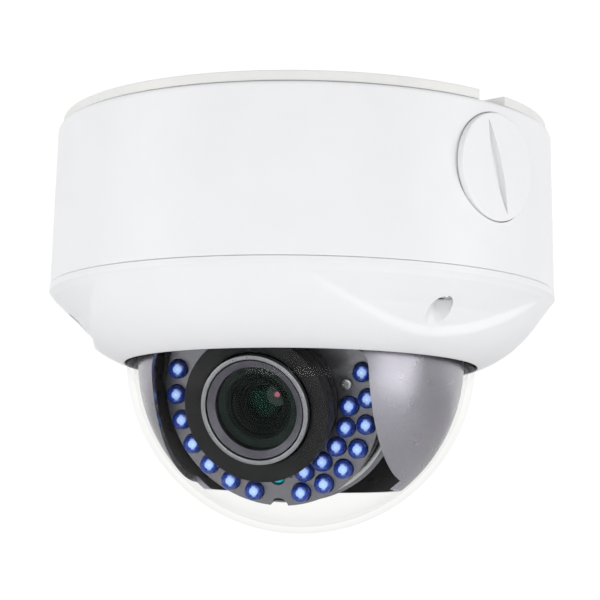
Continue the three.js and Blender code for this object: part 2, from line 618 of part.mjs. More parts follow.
function moduleHousing() {
  const inner = MODULE_R - HOUSING_WALL;
  const floor = MODULE_BACK + 2;
  const shell = turned([[6, MODULE_BACK], [MODULE_R - 1.2, MODULE_BACK], [MODULE_R, MODULE_BACK + 1.2],
    [MODULE_R, SHOULDER_LOW], [SHOULDER_R, SHOULDER_LOW], [SHOULDER_R, FRAME_LOW - GAP],
    [MODULE_R, FRAME_LOW - GAP], [MODULE_R, HOUSING_FRONT], [inner, HOUSING_FRONT], [inner, floor], [6, floor]]);
  const post = moved(disc(2.2, floor - 0.5, SENSOR_BOARD_LOW - GAP, SMALL_SIDES), 15, 0, 0);
  return shell.add(copies(post, [45, 135, 225, 315]));
}

const SENSOR_BOARD_LOW = MODULE_BACK + 3.4;
const SENSOR_BOARD_T = 1.6;
const BARREL_LOW = SENSOR_BOARD_LOW + SENSOR_BOARD_T + GAP;

function rotationRing() {
  return ring(MODULE_R + GAP, SHOULDER_R - 0.2, FRAME_HIGH + GAP, FRAME_HIGH + 1.5);
}

function sensorBoard() {
  return box(34, 34, SENSOR_BOARD_T, [0, 0, SENSOR_BOARD_LOW + SENSOR_BOARD_T / 2]);
}

function lensBarrel() {
  const nose = RING_R - 1.55;
  const seat = GLASS_R + GAP;
  return turned([[9, BARREL_LOW], [16, BARREL_LOW], [16, BARREL_LOW + 1.7], [BARREL_R, BARREL_LOW + 1.7],
    [BARREL_R, 29], [RING_R - 0.35, 30], [RING_R - 0.35, RING_FACE - 2], [nose, RING_FACE - 2],
    [nose, RING_FACE - 0.4], [seat, RING_FACE - 1.9], [seat, RING_FACE - 3.7], [9, RING_FACE - 3.7]], MID_SIDES);
}

function frontGlass() {
  const bulge = 1.1;
  const edge = RING_FACE - 2.2;
  const radius = (GLASS_R ** 2 + bulge ** 2) / (2 * bulge);
  const half = THREE.MathUtils.radToDeg(Math.asin(GLASS_R / radius));
  return turned([[0, edge - 1.2], [GLASS_R, edge - 1.2],
    ...arc(0, edge + bulge - radius, radius, 90 - half, 90, 5)], MID_SIDES);
}

function lensRing() {
  const low = RING_FACE - 1.7;
  return turned([[RING_R - 1.25, low], [RING_R, low], [RING_R, RING_FACE - 0.25], [RING_R - 0.25, RING_FACE],
    [RING_R - 1.25, RING_FACE]], MID_SIDES);
}

function lensCollar() {
  const bore = RING_R + 0.35;
  const foot = INNER_ROW.r - LED_D / 2 - GAP - 0.1;
  return turned([[bore, PLATE_FACE + GAP], [foot, PLATE_FACE + GAP], [foot, PLATE_FACE + GAP + 1.2],
    [foot - 1.2, PLATE_FACE + GAP + 1.6], [foot - 1.2, LED_TIP + 2.6], [COLLAR_R, LED_TIP + 3.8],
    [COLLAR_R, COLLAR_FACE - 0.4], [COLLAR_R - 0.4, COLLAR_FACE], [bore, COLLAR_FACE - 0.5]], MID_SIDES);
}

function leverRing(low, reach, azimuth) {
  const hoop = ring(BARREL_R + GAP, BARREL_R + 3.4, low, low + 4, MID_SIDES);
  const lever = placed(disc(1.1, BARREL_R + 2, reach, 12), new THREE.Matrix4().makeRotationX(rad(90)));
  return hoop.add(moved(toAzimuth(lever, azimuth), 0, 0, low + 2));
}

function ledPlaces() {
  const row = ({ r, first, step, pairs }) => Array.from({ length: pairs }, (_, k) => [1, -1]
    .map((side) => {
      const a = rad(side * (first + step * k));
      return [r * Math.sin(a), -r * Math.cos(a)];
    })).flat();
  return [...row(OUTER_ROW), ...row(INNER_ROW)];
}

function led([x, y]) {
  const body = LED_D / 2;
  return moved(turned([[0, LED_BASE], [body, LED_BASE], ...arc(0, LED_TIP - body, body, 0, 90, 3)], 8), x, y, 0);
}

function ledBoard() {
  return ring(FACE_BORE + 1, MODULE_R - 0.4, LED_BOARD_LOW, LED_BOARD_LOW + LED_BOARD_T);
}

function frontPlate() {
  const low = PLATE_FACE - FACE_T;
  let plate = ring(FACE_BORE, FACE_R, low, PLATE_FACE)
    .add(ring(FACE_R - 0.5, FACE_R, HOUSING_FRONT + GAP, PLATE_FACE - 0.2));
  const hole = disc(LED_D / 2 + 0.25, low - 1, PLATE_FACE + 1, 8);
  for (const [x, y] of ledPlaces()) {
    plate = plate.subtract(moved(hole, x, y, 0));
  }
  plate = plate.subtract(moved(disc(SENSOR_R + GAP, low - 1, PLATE_FACE + 1), 0, -SENSOR_RAD, 0));
  const notch = moved(disc(2.6, PLATE_FACE - 3, PLATE_FACE + 1, SMALL_SIDES), 0, -FACE_R - 0.4, 0);
  return plate.subtract(copies(notch, [0, 120, 240]));
}

function lightSensor() {
  const tip = arc(0, PLATE_FACE - 1.2, SENSOR_R, 0, 90, 3);
  const body = turned([[0, LED_BASE], [SENSOR_R, LED_BASE], ...tip], SMALL_SIDES);
  return moved(body, 0, -SENSOR_RAD, 0);
}

function plateScrew() {
  const head = disc(1.5, PLATE_FACE + GAP, PLATE_FACE + 1.3, SMALL_SIDES);
  const socket = disc(0.7, PLATE_FACE + 0.7, PLATE_FACE + 2, 6);
  const lastLamp = INNER_ROW.first + INNER_ROW.step * (INNER_ROW.pairs - 1);
  return toAzimuth(moved(head.subtract(socket), 0, -INNER_ROW.r, 0), lastLamp + 15.8);
}

// ---- assembly ----
add('mounting_plate', mountingPlate(), 'steel');
add('base_housing', baseHousing(), 'white');
add('cover_seal', coverSeal(), 'rubber');
add('cable_gland', cableGland(), 'rubber');
add('main_board', mainBoard(), 'board');
add('board_terminal', boardTerminal(), 'terminal');
add('gimbal_base', gimbalBase(), 'black');
add('conduit_plug', conduitPlug(), 'white', conduitFrame);
add('plug_seal_ring', plugRing(), 'rubber', conduitFrame);

add('front_cover', frontCover(), 'white');
add('clear_dome', clearDome(), 'clear');
add('dome_gasket', domeGasket(), 'rubber');
add('dome_retainer', domeRetainer(), 'steel');
POSTS.forEach((azimuth, i) => {
  add(`cover_screw_${i + 1}`, toAzimuth(moved(coverScrew(), 0, -SCREW_RAD, 0), azimuth), 'steel');
});

add('pan_ring', panRing(), 'black', panFrame);
add('yoke_arm_right', yokeArm(1), 'steel', panFrame);
add('yoke_arm_left', yokeArm(-1), 'steel', panFrame);
add('liner', liner(), 'liner', panFrame);
add('tilt_ring', tiltRing(), 'satin', frameFrame);
add('tilt_pivot_right', tiltPivot(1), 'steel', frameFrame);
add('tilt_pivot_left', tiltPivot(-1), 'steel', frameFrame);

add('module_housing', moduleHousing(), 'black', lensFrame);
add('rotation_ring', rotationRing(), 'steel', lensFrame);
add('sensor_board', sensorBoard(), 'board', lensFrame);
add('lens_barrel', lensBarrel(), 'black', lensFrame);
add('front_glass', frontGlass(), 'glass', lensFrame);
add('lens_ring', lensRing(), 'ring', lensFrame);
add('lens_collar', lensCollar(), 'collar', lensFrame);
add('zoom_ring', leverRing(13, 24, 60), 'black', lensFrame);
add('focus_ring', leverRing(4, 24, -60), 'black', lensFrame);
add('led_board', ledBoard(), 'board', lensFrame);
add('front_plate', frontPlate(), 'satin', lensFrame);
add('light_sensor', lightSensor(), 'sensor', lensFrame);
add('plate_screw', plateScrew(), 'steel', lensFrame);
ledPlaces().forEach((place, i) => {
  add(`led_${String(i + 1).padStart(2, '0')}`, led(place), 'led', lensFrame);
});

export default assembly;
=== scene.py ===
"""Looks of the ceiling dome camera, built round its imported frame. Profiles are in millimetres."""
import json
import math

import bmesh
import bpy
from mathutils import Matrix, Vector

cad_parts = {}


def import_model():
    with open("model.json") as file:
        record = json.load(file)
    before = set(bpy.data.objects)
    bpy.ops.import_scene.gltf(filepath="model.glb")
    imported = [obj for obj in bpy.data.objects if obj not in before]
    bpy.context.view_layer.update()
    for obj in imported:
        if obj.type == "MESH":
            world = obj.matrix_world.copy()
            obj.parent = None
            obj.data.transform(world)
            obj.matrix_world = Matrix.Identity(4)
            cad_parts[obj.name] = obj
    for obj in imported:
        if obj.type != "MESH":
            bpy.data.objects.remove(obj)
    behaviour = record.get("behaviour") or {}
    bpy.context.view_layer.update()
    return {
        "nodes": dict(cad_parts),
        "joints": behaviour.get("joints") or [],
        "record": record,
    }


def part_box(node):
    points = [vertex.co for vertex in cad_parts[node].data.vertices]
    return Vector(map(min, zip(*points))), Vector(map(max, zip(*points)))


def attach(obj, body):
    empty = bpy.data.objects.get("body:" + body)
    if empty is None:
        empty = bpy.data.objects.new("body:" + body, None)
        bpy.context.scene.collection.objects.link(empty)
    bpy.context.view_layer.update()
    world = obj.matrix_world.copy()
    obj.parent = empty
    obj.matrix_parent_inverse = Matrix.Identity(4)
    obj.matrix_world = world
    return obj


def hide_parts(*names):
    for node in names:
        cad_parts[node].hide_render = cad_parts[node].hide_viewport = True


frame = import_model()

MM = 0.001
FINE = 256  # facets round a large turned piece
MEDIUM = 128
SMALL = 48


# ---- places read from the frame ----
def reach(node):
    """Largest radius of a node about the Z axis, with its lowest and highest point, in millimetres."""
    low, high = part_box(node)
    return high.x / MM, low.z / MM, high.z / MM


JOINTS = {joint["name"]: joint for joint in frame["joints"]}
TILT_CENTRE = Vector(JOINTS["tilt_turn"]["pos_m"])
TILT_AXIS = Vector(JOINTS["tilt_turn"]["axis"]).normalized()
LENS_AXIS = Vector(JOINTS["lens_rotation"]["axis"]).normalized()
PLUG_AXIS = Vector(JOINTS["plug_unscrew"]["axis"]).normalized()
PLATE_R = reach("mounting_plate")[0]
PLATE_T = 2.6
BASE_R, BASE_LOW, BASE_TOP = reach("base_housing")
COVER_R, _, COVER_TOP = reach("front_cover")
FLANGE_R, DOME_LOW, _ = reach("clear_dome")
DOME_R = 48.0
DOME_WALL = 1.8
DOME_Z = DOME_LOW + DOME_R
LIP_R = DOME_R + 0.67
ROLL = math.radians(2.1)
SCREW_AZIMUTHS = [34.7 + 120 * i for i in range(3)]
SCREW_RAD = COVER_R - 9.3


def basis(x, y, z, origin):
    matrix = Matrix((x, y, z)).transposed().to_4x4()
    matrix.translation = origin
    return matrix


RING_FRAME = basis(TILT_AXIS, LENS_AXIS.cross(TILT_AXIS), LENS_AXIS, TILT_CENTRE)
LENS_FRAME = RING_FRAME @ Matrix.Rotation(-ROLL, 4, "Z")
PAN_ANGLE = math.atan2(TILT_AXIS.y, TILT_AXIS.x)
PAN_FRAME = Matrix.Rotation(PAN_ANGLE, 4, "Z")
PLUG_Z = (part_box("conduit_plug")[0].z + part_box("conduit_plug")[1].z) / 2
PLUG_FRAME = basis(Vector((0, 0, 1)).cross(PLUG_AXIS), Vector((0, 0, 1)), PLUG_AXIS, Vector((0, 0, PLUG_Z)))


# ---- mesh helpers ----
def arc(r, z, radius, start, end, count):
    """Points on an arc of the profile plane, angles in degrees from outwards to upwards."""
    angles = [math.radians(start + (end - start) * i / count) for i in range(count + 1)]
    return [(r + radius * math.cos(a), z + radius * math.sin(a)) for a in angles]


def rounded(points, radius, count=4, closed=True):
    """The same outline with each corner turned into an arc, limited by its edges."""
    result = []
    total = len(points)
    for i, point in enumerate(points):
        if point[0] <= 1e-6 or (not closed and i in (0, total - 1)):
            result.append(point)
            continue
        here = Vector(point)
        before = Vector(points[i - 1]) - here
        after = Vector(points[(i + 1) % total]) - here
        turn = before.angle(after, math.pi)
        if turn > math.radians(168) or before.length < 1e-6 or after.length < 1e-6:
            result.append(point)
            continue
        cut = min(radius / math.tan(turn / 2), before.length * 0.45, after.length * 0.45)
        start = here + before.normalized() * cut
        end = here + after.normalized() * cut
        for k in range(count + 1):
            t = k / count
            spot = start * (1 - t) ** 2 + here * 2 * t * (1 - t) + end * t ** 2
            result.append((spot.x, spot.y))
    return result


def piece(name, mesh_data, place=None, smooth=32):
    """An object from a bmesh in millimetres, put in its place in metres."""
    bmesh.ops.remove_doubles(mesh_data, verts=mesh_data.verts, dist=1e-4)
    bmesh.ops.recalc_face_normals(mesh_data, faces=mesh_data.faces)
    mesh = bpy.data.meshes.new(name)
    mesh_data.to_mesh(mesh)
    mesh_data.free()
    mesh.transform((place or Matrix.Identity(4)) @ Matrix.Scale(MM, 4))
    for polygon in mesh.polygons:
        polygon.use_smooth = True
    mesh.set_sharp_from_angle(angle=math.radians(smooth))
    result = bpy.data.objects.new(name, mesh)
    bpy.context.scene.collection.objects.link(result)
    return result


def turned_mesh(points, sides):
    """A closed profile of (radius, height) turned about Z."""
    shape = bmesh.new()
    rings = []
    for r, z in points:
        if r < 1e-6:
            rings.append([shape.verts.new((0, 0, z))])
            continue
        rings.append([shape.verts.new((r * math.cos(a), r * math.sin(a), z))
                      for a in (math.tau * i / sides for i in range(sides))])
    for k, low in enumerate(rings):
        high = rings[(k + 1) % len(rings)]
        if len(low) == 1 and len(high) == 1:
            continue
        for i in range(sides):
            j = (i + 1) % sides
            corners = [low[i % len(low)], low[j % len(low)], high[j % len(high)], high[i % len(high)]]
            unique = list(dict.fromkeys(corners))
            shape.faces.new(unique)
    return shape


def turned(name, points, place=None, sides=FINE, round_by=0.25, smooth=32):
    outline = rounded(points, round_by) if round_by else points
    return piece(name, turned_mesh(outline, sides), place, smooth)


def ring(name, inner, outer, low, high, place=None, sides=FINE, round_by=0.25):
    return turned(name, [(inner, low), (outer, low), (outer, high), (inner, high)], place, sides, round_by)


def prism(name, outline, low, high, place=None, round_by=0.0):
    """An outline in the XY plane pushed from one height to another."""
    shape = bmesh.new()
    bottom = [shape.verts.new((x, y, low)) for x, y in outline]
    top = [shape.verts.new((x, y, high)) for x, y in outline]
    shape.faces.new(bottom[::-1])
    shape.faces.new(top)
    for i in range(len(outline)):
        j = (i + 1) % len(outline)
        shape.faces.new((bottom[i], bottom[j], top[j], top[i]))
    if round_by:
        bmesh.ops.bevel(shape, geom=shape.edges[:], offset=round_by, segments=3, affect="EDGES", profile=0.5)
    return piece(name, shape, place)


def circle(x, y, radius, count=SMALL):
    return [(x + radius * math.cos(math.tau * i / count), y + radius * math.sin(math.tau * i / count))
            for i in range(count)]


def rectangle(width, height, x=0.0, y=0.0):
    return [(x - width / 2, y - height / 2), (x + width / 2, y - height / 2),
            (x + width / 2, y + height / 2), (x - width / 2, y + height / 2)]


def settled(target):
    """Applies what is on an object, so that its mesh is final."""
    graph = bpy.context.evaluated_depsgraph_get()
    mesh = bpy.data.meshes.new_from_object(target.evaluated_get(graph))
    target.modifiers.clear()
    target.data = mesh
    return target


def combine(target, others, operation="DIFFERENCE", smooth=32):
    """Cuts the others out of the target or joins them to it, and removes them."""
    for other in others:
        modifier = target.modifiers.new("combine", "BOOLEAN")
        modifier.operation = operation
        modifier.solver = "EXACT"
        modifier.object = other
    settled(target)
    for other in others:
        bpy.data.objects.remove(other)
    for polygon in target.data.polygons:
        polygon.use_smooth = True
    target.data.set_sharp_from_angle(angle=math.radians(smooth))
    return target


def softened(target, width, segments=3, angle=35):
    """Small rounds along the sharp edges."""
    modifier = target.modifiers.new("soften", "BEVEL")
    modifier.width = width * MM
    modifier.segments = segments
    modifier.limit_method = "ANGLE"
    modifier.angle_limit = math.radians(angle)
    modifier.harden_normals = True
    return settled(target)


def at_azimuth(degrees, radius=0.0, z=0.0):
    """The place of something made at the origin, moved out towards an azimuth from -Y to +X."""
    return Matrix.Rotation(math.radians(degrees), 4, "Z") @ Matrix.Translation((0, -radius * MM, z * MM))


def facing_x(side):
    """Stands an outline's plane up, so that it is pushed towards +X or -X."""
    return Matrix(((0, 0, side, 0), (1, 0, 0, 0), (0, 1, 0, 0), (0, 0, 0, 1)))


def finished(target, nodes, body, slot, surface=None):
    """Gives a piece its material, from its slot unless another is given, puts it in its body and hides the
    CAD nodes it stands for.
    """
    target.data.materials.clear()
    target.data.materials.append(surface or SURFACES[slot])
    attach(target, body)
    if nodes:
        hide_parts(*nodes)
    return target


# ---- materials ----
class Surface:
    """A procedural material: one Principled shader with patterns of colour, roughness and relief."""

    def __init__(self, name, colour, roughness, metallic=0.0):
        self.material = bpy.data.materials.new(name)
        self.material.use_nodes = True
        self.tree = self.material.node_tree
        self.shader = self.tree.nodes["Principled BSDF"]
        self.colour = colour
        self.roughness = roughness
        self.set("Base Color", (*colour, 1.0))
        self.set("Roughness", roughness)
        self.set("Metallic", metallic)
        self.place = self.tree.nodes.new("ShaderNodeTexCoord").outputs["Object"]
        self.bump = None

    def set(self, socket, value):
        self.shader.inputs[socket].default_value = value
        return self

    def pattern(self, size, detail=2.0, stretch=(1, 1, 1)):
        """Noise whose grains are about size millimetres across."""
        mapping = self.tree.nodes.new("ShaderNodeMapping")
        mapping.inputs["Scale"].default_value = stretch
        self.tree.links.new(self.place, mapping.inputs["Vector"])
        texture = self.tree.nodes.new("ShaderNodeTexNoise")
        texture.inputs["Scale"].default_value = 1 / (size * MM)
        texture.inputs["Detail"].default_value = detail
        self.tree.links.new(mapping.outputs[0], texture.inputs["Vector"])
        return texture.outputs["Fac"]

    def spread(self, source, low, high, start=0.3, end=0.7):
        """A number that goes from low to high as the pattern rises."""
        span = self.tree.nodes.new("ShaderNodeMapRange")
        for socket, value in (("From Min", start), ("From Max", end), ("To Min", low), ("To Max", high)):
            span.inputs[socket].default_value = value
        self.tree.links.new(source, span.inputs["Value"])
        return span.outputs["Result"]

    def tint(self, size, other, detail=3.0, start=0.35, end=0.65):
        """Drifts the colour towards another one."""
        ramp = self.tree.nodes.new("ShaderNodeValToRGB")
        ramp.color_ramp.elements[0].position = start
        ramp.color_ramp.elements[0].color = (*self.colour, 1.0)
        ramp.color_ramp.elements[1].position = end
        ramp.color_ramp.elements[1].color = (*other, 1.0)
        self.tree.links.new(self.pattern(size, detail), ramp.inputs["Fac"])
        self.tree.links.new(ramp.outputs["Color"], self.shader.inputs["Base Color"])
        return self

    def patchy(self, size, amount, stretch=(1, 1, 1)):
        """Lets the roughness vary by an amount either way."""
        low, high = self.roughness - amount, self.roughness + amount
        source = self.spread(self.pattern(size, 3.0, stretch), low, high)
        self.tree.links.new(source, self.shader.inputs["Roughness"])
        return self

    def relief(self, size, depth, stretch=(1, 1, 1), detail=2.0):
        """Adds fine bumps, depth in millimetres."""
        node = self.tree.nodes.new("ShaderNodeBump")
        node.inputs["Strength"].default_value = 1.0
        node.inputs["Distance"].default_value = depth * MM
        self.tree.links.new(self.pattern(size, detail, stretch), node.inputs["Height"])
        if self.bump:
            self.tree.links.new(self.bump.outputs["Normal"], node.inputs["Normal"])
        self.tree.links.new(node.outputs["Normal"], self.shader.inputs["Normal"])
        self.bump = node
        return self


def wire(tree, *links):
    for source, target in links:
        tree.links.new(source, target)


def set_range(node, *limits):
    """Sets the four limits of a map range node."""
    for socket, value in zip(("From Min", "From Max", "To Min", "To Max"), limits):
        node.inputs[socket].default_value = value


def clear_surface(name, tint, facing_on, at_edge, sharp=4.0, roughness=0.01):
    """A thin clear wall: see-through, with a mirror share that grows from facing_on to at_edge."""
    material = bpy.data.materials.new(name)
    material.use_nodes = True
    tree = material.node_tree
    tree.nodes.clear()
    output = tree.nodes.new("ShaderNodeOutputMaterial")
    through = tree.nodes.new("ShaderNodeBsdfTransparent")
    through.inputs["Color"].default_value = (*tint, 1.0)
    mirror = tree.nodes.new("ShaderNodeBsdfGlossy")
    mirror.inputs["Roughness"].default_value = roughness
    grain = tree.nodes.new("ShaderNodeTexNoise")
    grain.inputs["Scale"].default_value = 60.0
    wave = tree.nodes.new("ShaderNodeBump")
    wave.inputs["Distance"].default_value = 0.003 * MM
    edge = tree.nodes.new("ShaderNodeLayerWeight")
    edge.inputs["Blend"].default_value = 0.5
    curve = tree.nodes.new("ShaderNodeMath")
    curve.operation = "POWER"
    curve.inputs[1].default_value = sharp
    share = tree.nodes.new("ShaderNodeMapRange")
    share.inputs["To Min"].default_value = facing_on
    share.inputs["To Max"].default_value = at_edge
    mix = tree.nodes.new("ShaderNodeMixShader")
    wire(tree, (grain.outputs["Fac"], wave.inputs["Height"]),
         (wave.outputs["Normal"], mirror.inputs["Normal"]),
         (edge.outputs["Facing"], curve.inputs[0]), (curve.outputs[0], share.inputs["Value"]),
         (share.outputs["Result"], mix.inputs["Fac"]), (through.outputs[0], mix.inputs[1]),
         (mirror.outputs[0], mix.inputs[2]), (mix.outputs[0], output.inputs["Surface"]))
    return material


def white_paint():
    surface = Surface("white_powder_coat", (0.865, 0.868, 0.885), 0.4)
    surface.set("Specular IOR Level", 0.45)
    return surface.tint(18, (0.85, 0.853, 0.87)).patchy(6, 0.05).relief(0.7, 0.012).relief(0.18, 0.004)


def plate_paint():
    surface = Surface("plate_finish", (0.83, 0.828, 0.81), 0.45)
    return surface.tint(12, (0.8, 0.798, 0.78)).patchy(5, 0.06).relief(0.5, 0.01)


def bright_steel():
    surface = Surface("satin_steel", (0.6, 0.61, 0.63), 0.3, 1.0)
    return surface.tint(4, (0.52, 0.53, 0.55)).patchy(0.8, 0.08, (1, 1, 6)).relief(0.3, 0.004, (1, 1, 8))


def rubber():
    surface = Surface("black_rubber", (0.012, 0.012, 0.013), 0.7)
    return surface.tint(3, (0.02, 0.02, 0.021)).patchy(1.5, 0.1).relief(0.25, 0.01)


def circuit_board():
    surface = Surface("solder_mask", (0.012, 0.08, 0.035), 0.35)
    return surface.tint(1.6, (0.02, 0.14, 0.06), 1.0, 0.48, 0.52).patchy(2, 0.1).relief(1.2, 0.02)


def terminal_plastic():
    surface = Surface("terminal_plastic", (0.03, 0.16, 0.06), 0.45)
    return surface.tint(3, (0.025, 0.13, 0.05)).patchy(2, 0.06).relief(0.4, 0.01)


def black_plastic():
    surface = Surface("black_plastic", (0.014, 0.014, 0.016), 0.5)
    return surface.tint(5, (0.02, 0.02, 0.022)).patchy(2, 0.08).relief(0.3, 0.01)


def black_metal():
    surface = Surface("black_anodised", (0.018, 0.018, 0.02), 0.38, 0.5)
    return surface.tint(3, (0.026, 0.026, 0.028)).patchy(1.2, 0.06).relief(0.2, 0.004)


def collar_plastic():
    surface = Surface("collar_plastic", (0.01, 0.01, 0.0115), 0.52)
    surface.set("Specular IOR Level", 0.2)
    return surface.tint(4, (0.014, 0.014, 0.0155)).patchy(1.2, 0.06).relief(0.22, 0.007)


def liner_paint():
    surface = Surface("liner_satin", (0.33, 0.32, 0.37), 0.3, 0.95)
    return surface.tint(0.35, (0.4, 0.39, 0.44)).patchy(5, 0.04).relief(0.3, 0.002)


def satin_paint():
    surface = Surface("face_satin", (0.2, 0.2, 0.225), 0.34, 0.9)
    return surface.tint(0.35, (0.25, 0.25, 0.275)).patchy(3, 0.05).relief(0.25, 0.003)


def ring_metal():
    surface = Surface("ring_metal", (0.32, 0.33, 0.35), 0.32, 0.9)
    return surface.tint(1.5, (0.28, 0.29, 0.31)).patchy(0.8, 0.06).relief(0.25, 0.003)


def bevel_metal():
    surface = Surface("bevel_metal", (0.12, 0.115, 0.14), 0.4, 0.6)
    return surface.tint(1.5, (0.1, 0.096, 0.12)).patchy(0.8, 0.05).relief(0.3, 0.003)


def coated_glass():
    surface = Surface("inner_lens_coating", (0.003, 0.012, 0.01), 0.06)
    surface.set("Specular IOR Level", 0.25).set("Specular Tint", (0.35, 0.9, 0.75, 1.0))
    return surface.tint(5, (0.005, 0.02, 0.017))


# Painted reflection: a small red spot beside the lens axis that glows by an emission of its own, standing in
# for a reflection off the inner glass.
def painted_red_reflection():
    surface = Surface("painted_red_reflection_glow", (0.5, 0.06, 0.12), 0.12)
    surface.set("Emission Color", (0.8, 0.16, 0.26, 1.0)).set("Emission Strength", 0.35)
    return surface.tint(0.8, (0.75, 0.2, 0.3))


# Painted reflection: a flat grey disc beside the lens axis, standing in for a reflection inside the lens.
def painted_grey_reflection():
    surface = Surface("painted_reflection_disc", (0.045, 0.04, 0.045), 0.25)
    return surface.tint(2, (0.055, 0.05, 0.055))


def inner_black():
    surface = Surface("inner_black", (0.004, 0.0045, 0.005), 0.6)
    surface.set("Specular IOR Level", 0.15)
    return surface.tint(3, (0.006, 0.006, 0.007)).patchy(1.5, 0.05)


def led_epoxy():
    """Blue clear resin: see-through in the middle and deep blue towards its edge."""
    material = bpy.data.materials.new("blue_epoxy")
    material.use_nodes = True
    tree = material.node_tree
    shader = tree.nodes["Principled BSDF"]
    shader.inputs["Base Color"].default_value = (0.008, 0.03, 0.22, 1.0)
    shader.inputs["Roughness"].default_value = 0.06
    grain = tree.nodes.new("ShaderNodeTexNoise")
    grain.inputs["Scale"].default_value = 900.0
    shade = tree.nodes.new("ShaderNodeValToRGB")
    shade.color_ramp.elements[0].color = (0.006, 0.025, 0.2, 1.0)
    shade.color_ramp.elements[1].color = (0.02, 0.07, 0.42, 1.0)
    through = tree.nodes.new("ShaderNodeBsdfTransparent")
    through.inputs["Color"].default_value = (0.62, 0.76, 1.0, 1.0)
    edge = tree.nodes.new("ShaderNodeLayerWeight")
    edge.inputs["Blend"].default_value = 0.5
    share = tree.nodes.new("ShaderNodeMapRange")
    share.interpolation_type = "SMOOTHSTEP"
    set_range(share, 0.05, 0.3, 0.05, 0.93)
    mix = tree.nodes.new("ShaderNodeMixShader")
    output = tree.nodes["Material Output"]
    wire(tree, (grain.outputs["Fac"], shade.inputs["Fac"]),
         (shade.outputs["Color"], shader.inputs["Base Color"]),
         (edge.outputs["Facing"], share.inputs["Value"]), (share.outputs["Result"], mix.inputs["Fac"]),
         (through.outputs[0], mix.inputs[1]), (shader.outputs[0], mix.inputs[2]),
         (mix.outputs[0], output.inputs["Surface"]))
    return material


# Painted glow: the blue reflector cup is made brighter by a small emission of its own.
def led_cup_glow():
    surface = Surface("blue_reflector_painted_glow", (0.05, 0.1, 0.5), 0.3, 0.4)
    surface.set("Emission Color", (0.05, 0.12, 0.7, 1.0)).set("Emission Strength", 0.08)
    return surface.tint(1.2, (0.12, 0.2, 0.7)).patchy(0.6, 0.1)


# Painted glow: the white lead frame is made brighter by an emission of its own, and the same material paints
# each lamp's highlight arc.
def led_die_glow_and_glint():
    surface = Surface("lead_frame_glow_and_glint", (0.9, 0.92, 1.0), 0.35)
    surface.set("Emission Color", (0.9, 0.94, 1.0, 1.0)).set("Emission Strength", 0.4)
    return surface.tint(0.4, (0.8, 0.86, 1.0)).relief(0.2, 0.02)


# Painted glow: the light sensor's window glows by an emission of its own.
def sensor_glass_painted_glow():
    surface = Surface("sensor_window", (0.0, 0.35, 0.45), 0.08)
    surface.set("Coat Weight", 1.0).set("Coat Roughness", 0.03)
    surface.set("Emission Color", (0.0, 0.3, 0.42, 1.0)).set("Emission Strength", 0.25)
    return surface.tint(0.8, (0.01, 0.55, 0.62), 1.0)


SURFACES = {
    "white_paint": white_paint().material,
    "plate_steel": plate_paint().material,
    "steel": bright_steel().material,
    "rubber": rubber().material,
    "circuit_board": circuit_board().material,
    "terminal": terminal_plastic().material,
    "black_plastic": black_plastic().material,
    "black_metal": black_metal().material,
    "collar_plastic": collar_plastic().material,
    "liner_plastic": liner_paint().material,
    "satin_metal": satin_paint().material,
    "ring_metal": ring_metal().material,
    "sensor_window": sensor_glass_painted_glow().material,
    "led_epoxy": led_epoxy(),
    "clear_dome": clear_surface("clear_polycarbonate", (0.99, 0.99, 0.985), 0.003, 0.25, 5.0),
    "lens_glass": clear_surface("front_lens", (0.8, 0.9, 0.86), 0.004, 0.2),
}
BEVEL_METAL = bevel_metal().material
COATED_GLASS = coated_glass().material
PAINTED_RED_REFLECTION = painted_red_reflection().material
PAINTED_GREY_REFLECTION = painted_grey_reflection().material
INNER_BLACK = inner_black().material
LED_CUP_GLOW = led_cup_glow().material
LED_DIE_GLOW_AND_GLINT = led_die_glow_and_glint().material


def dress_frame():
    """CAD pieces that stay as they are get their slot's material."""
    slots = {row["node"]: row["material_slot"] for row in frame["record"]["subparts"]}
    for name, node in frame["nodes"].items():
        node.data.materials.clear()
        node.data.materials.append(SURFACES[slots[name]])


dress_frame()


# ---- base: plate, housing, conduit plug ----
PLATE_ROUND = 0.35
WALL = 2.5
SEAT = 2.3  # the plug's seat below its face
PLUG_FACE = BASE_R + 0.2
PLUG_R = 14.0
PLUG_STUB_R = 12.3
CABLE_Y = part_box("cable_gland")[0].y / MM + 10.5
KEY_AZIMUTHS = (20, 110, 230, 320)
KEY_IN, KEY_OUT = 43.0, 52.0


def stadium(radius, inner, outer, count=24):
    """A slot outline along -Y between two radii."""
    points = []
    for centre, start in ((-outer, math.pi), (-inner, 0.0)):
        for i in range(count + 1):
            a = start + math.pi * i / count
            points.append((radius * math.cos(a), centre + radius * math.sin(a)))
    return points


TAB_AZIMUTHS = (50, 170, 290)
LEG_RAD = 53


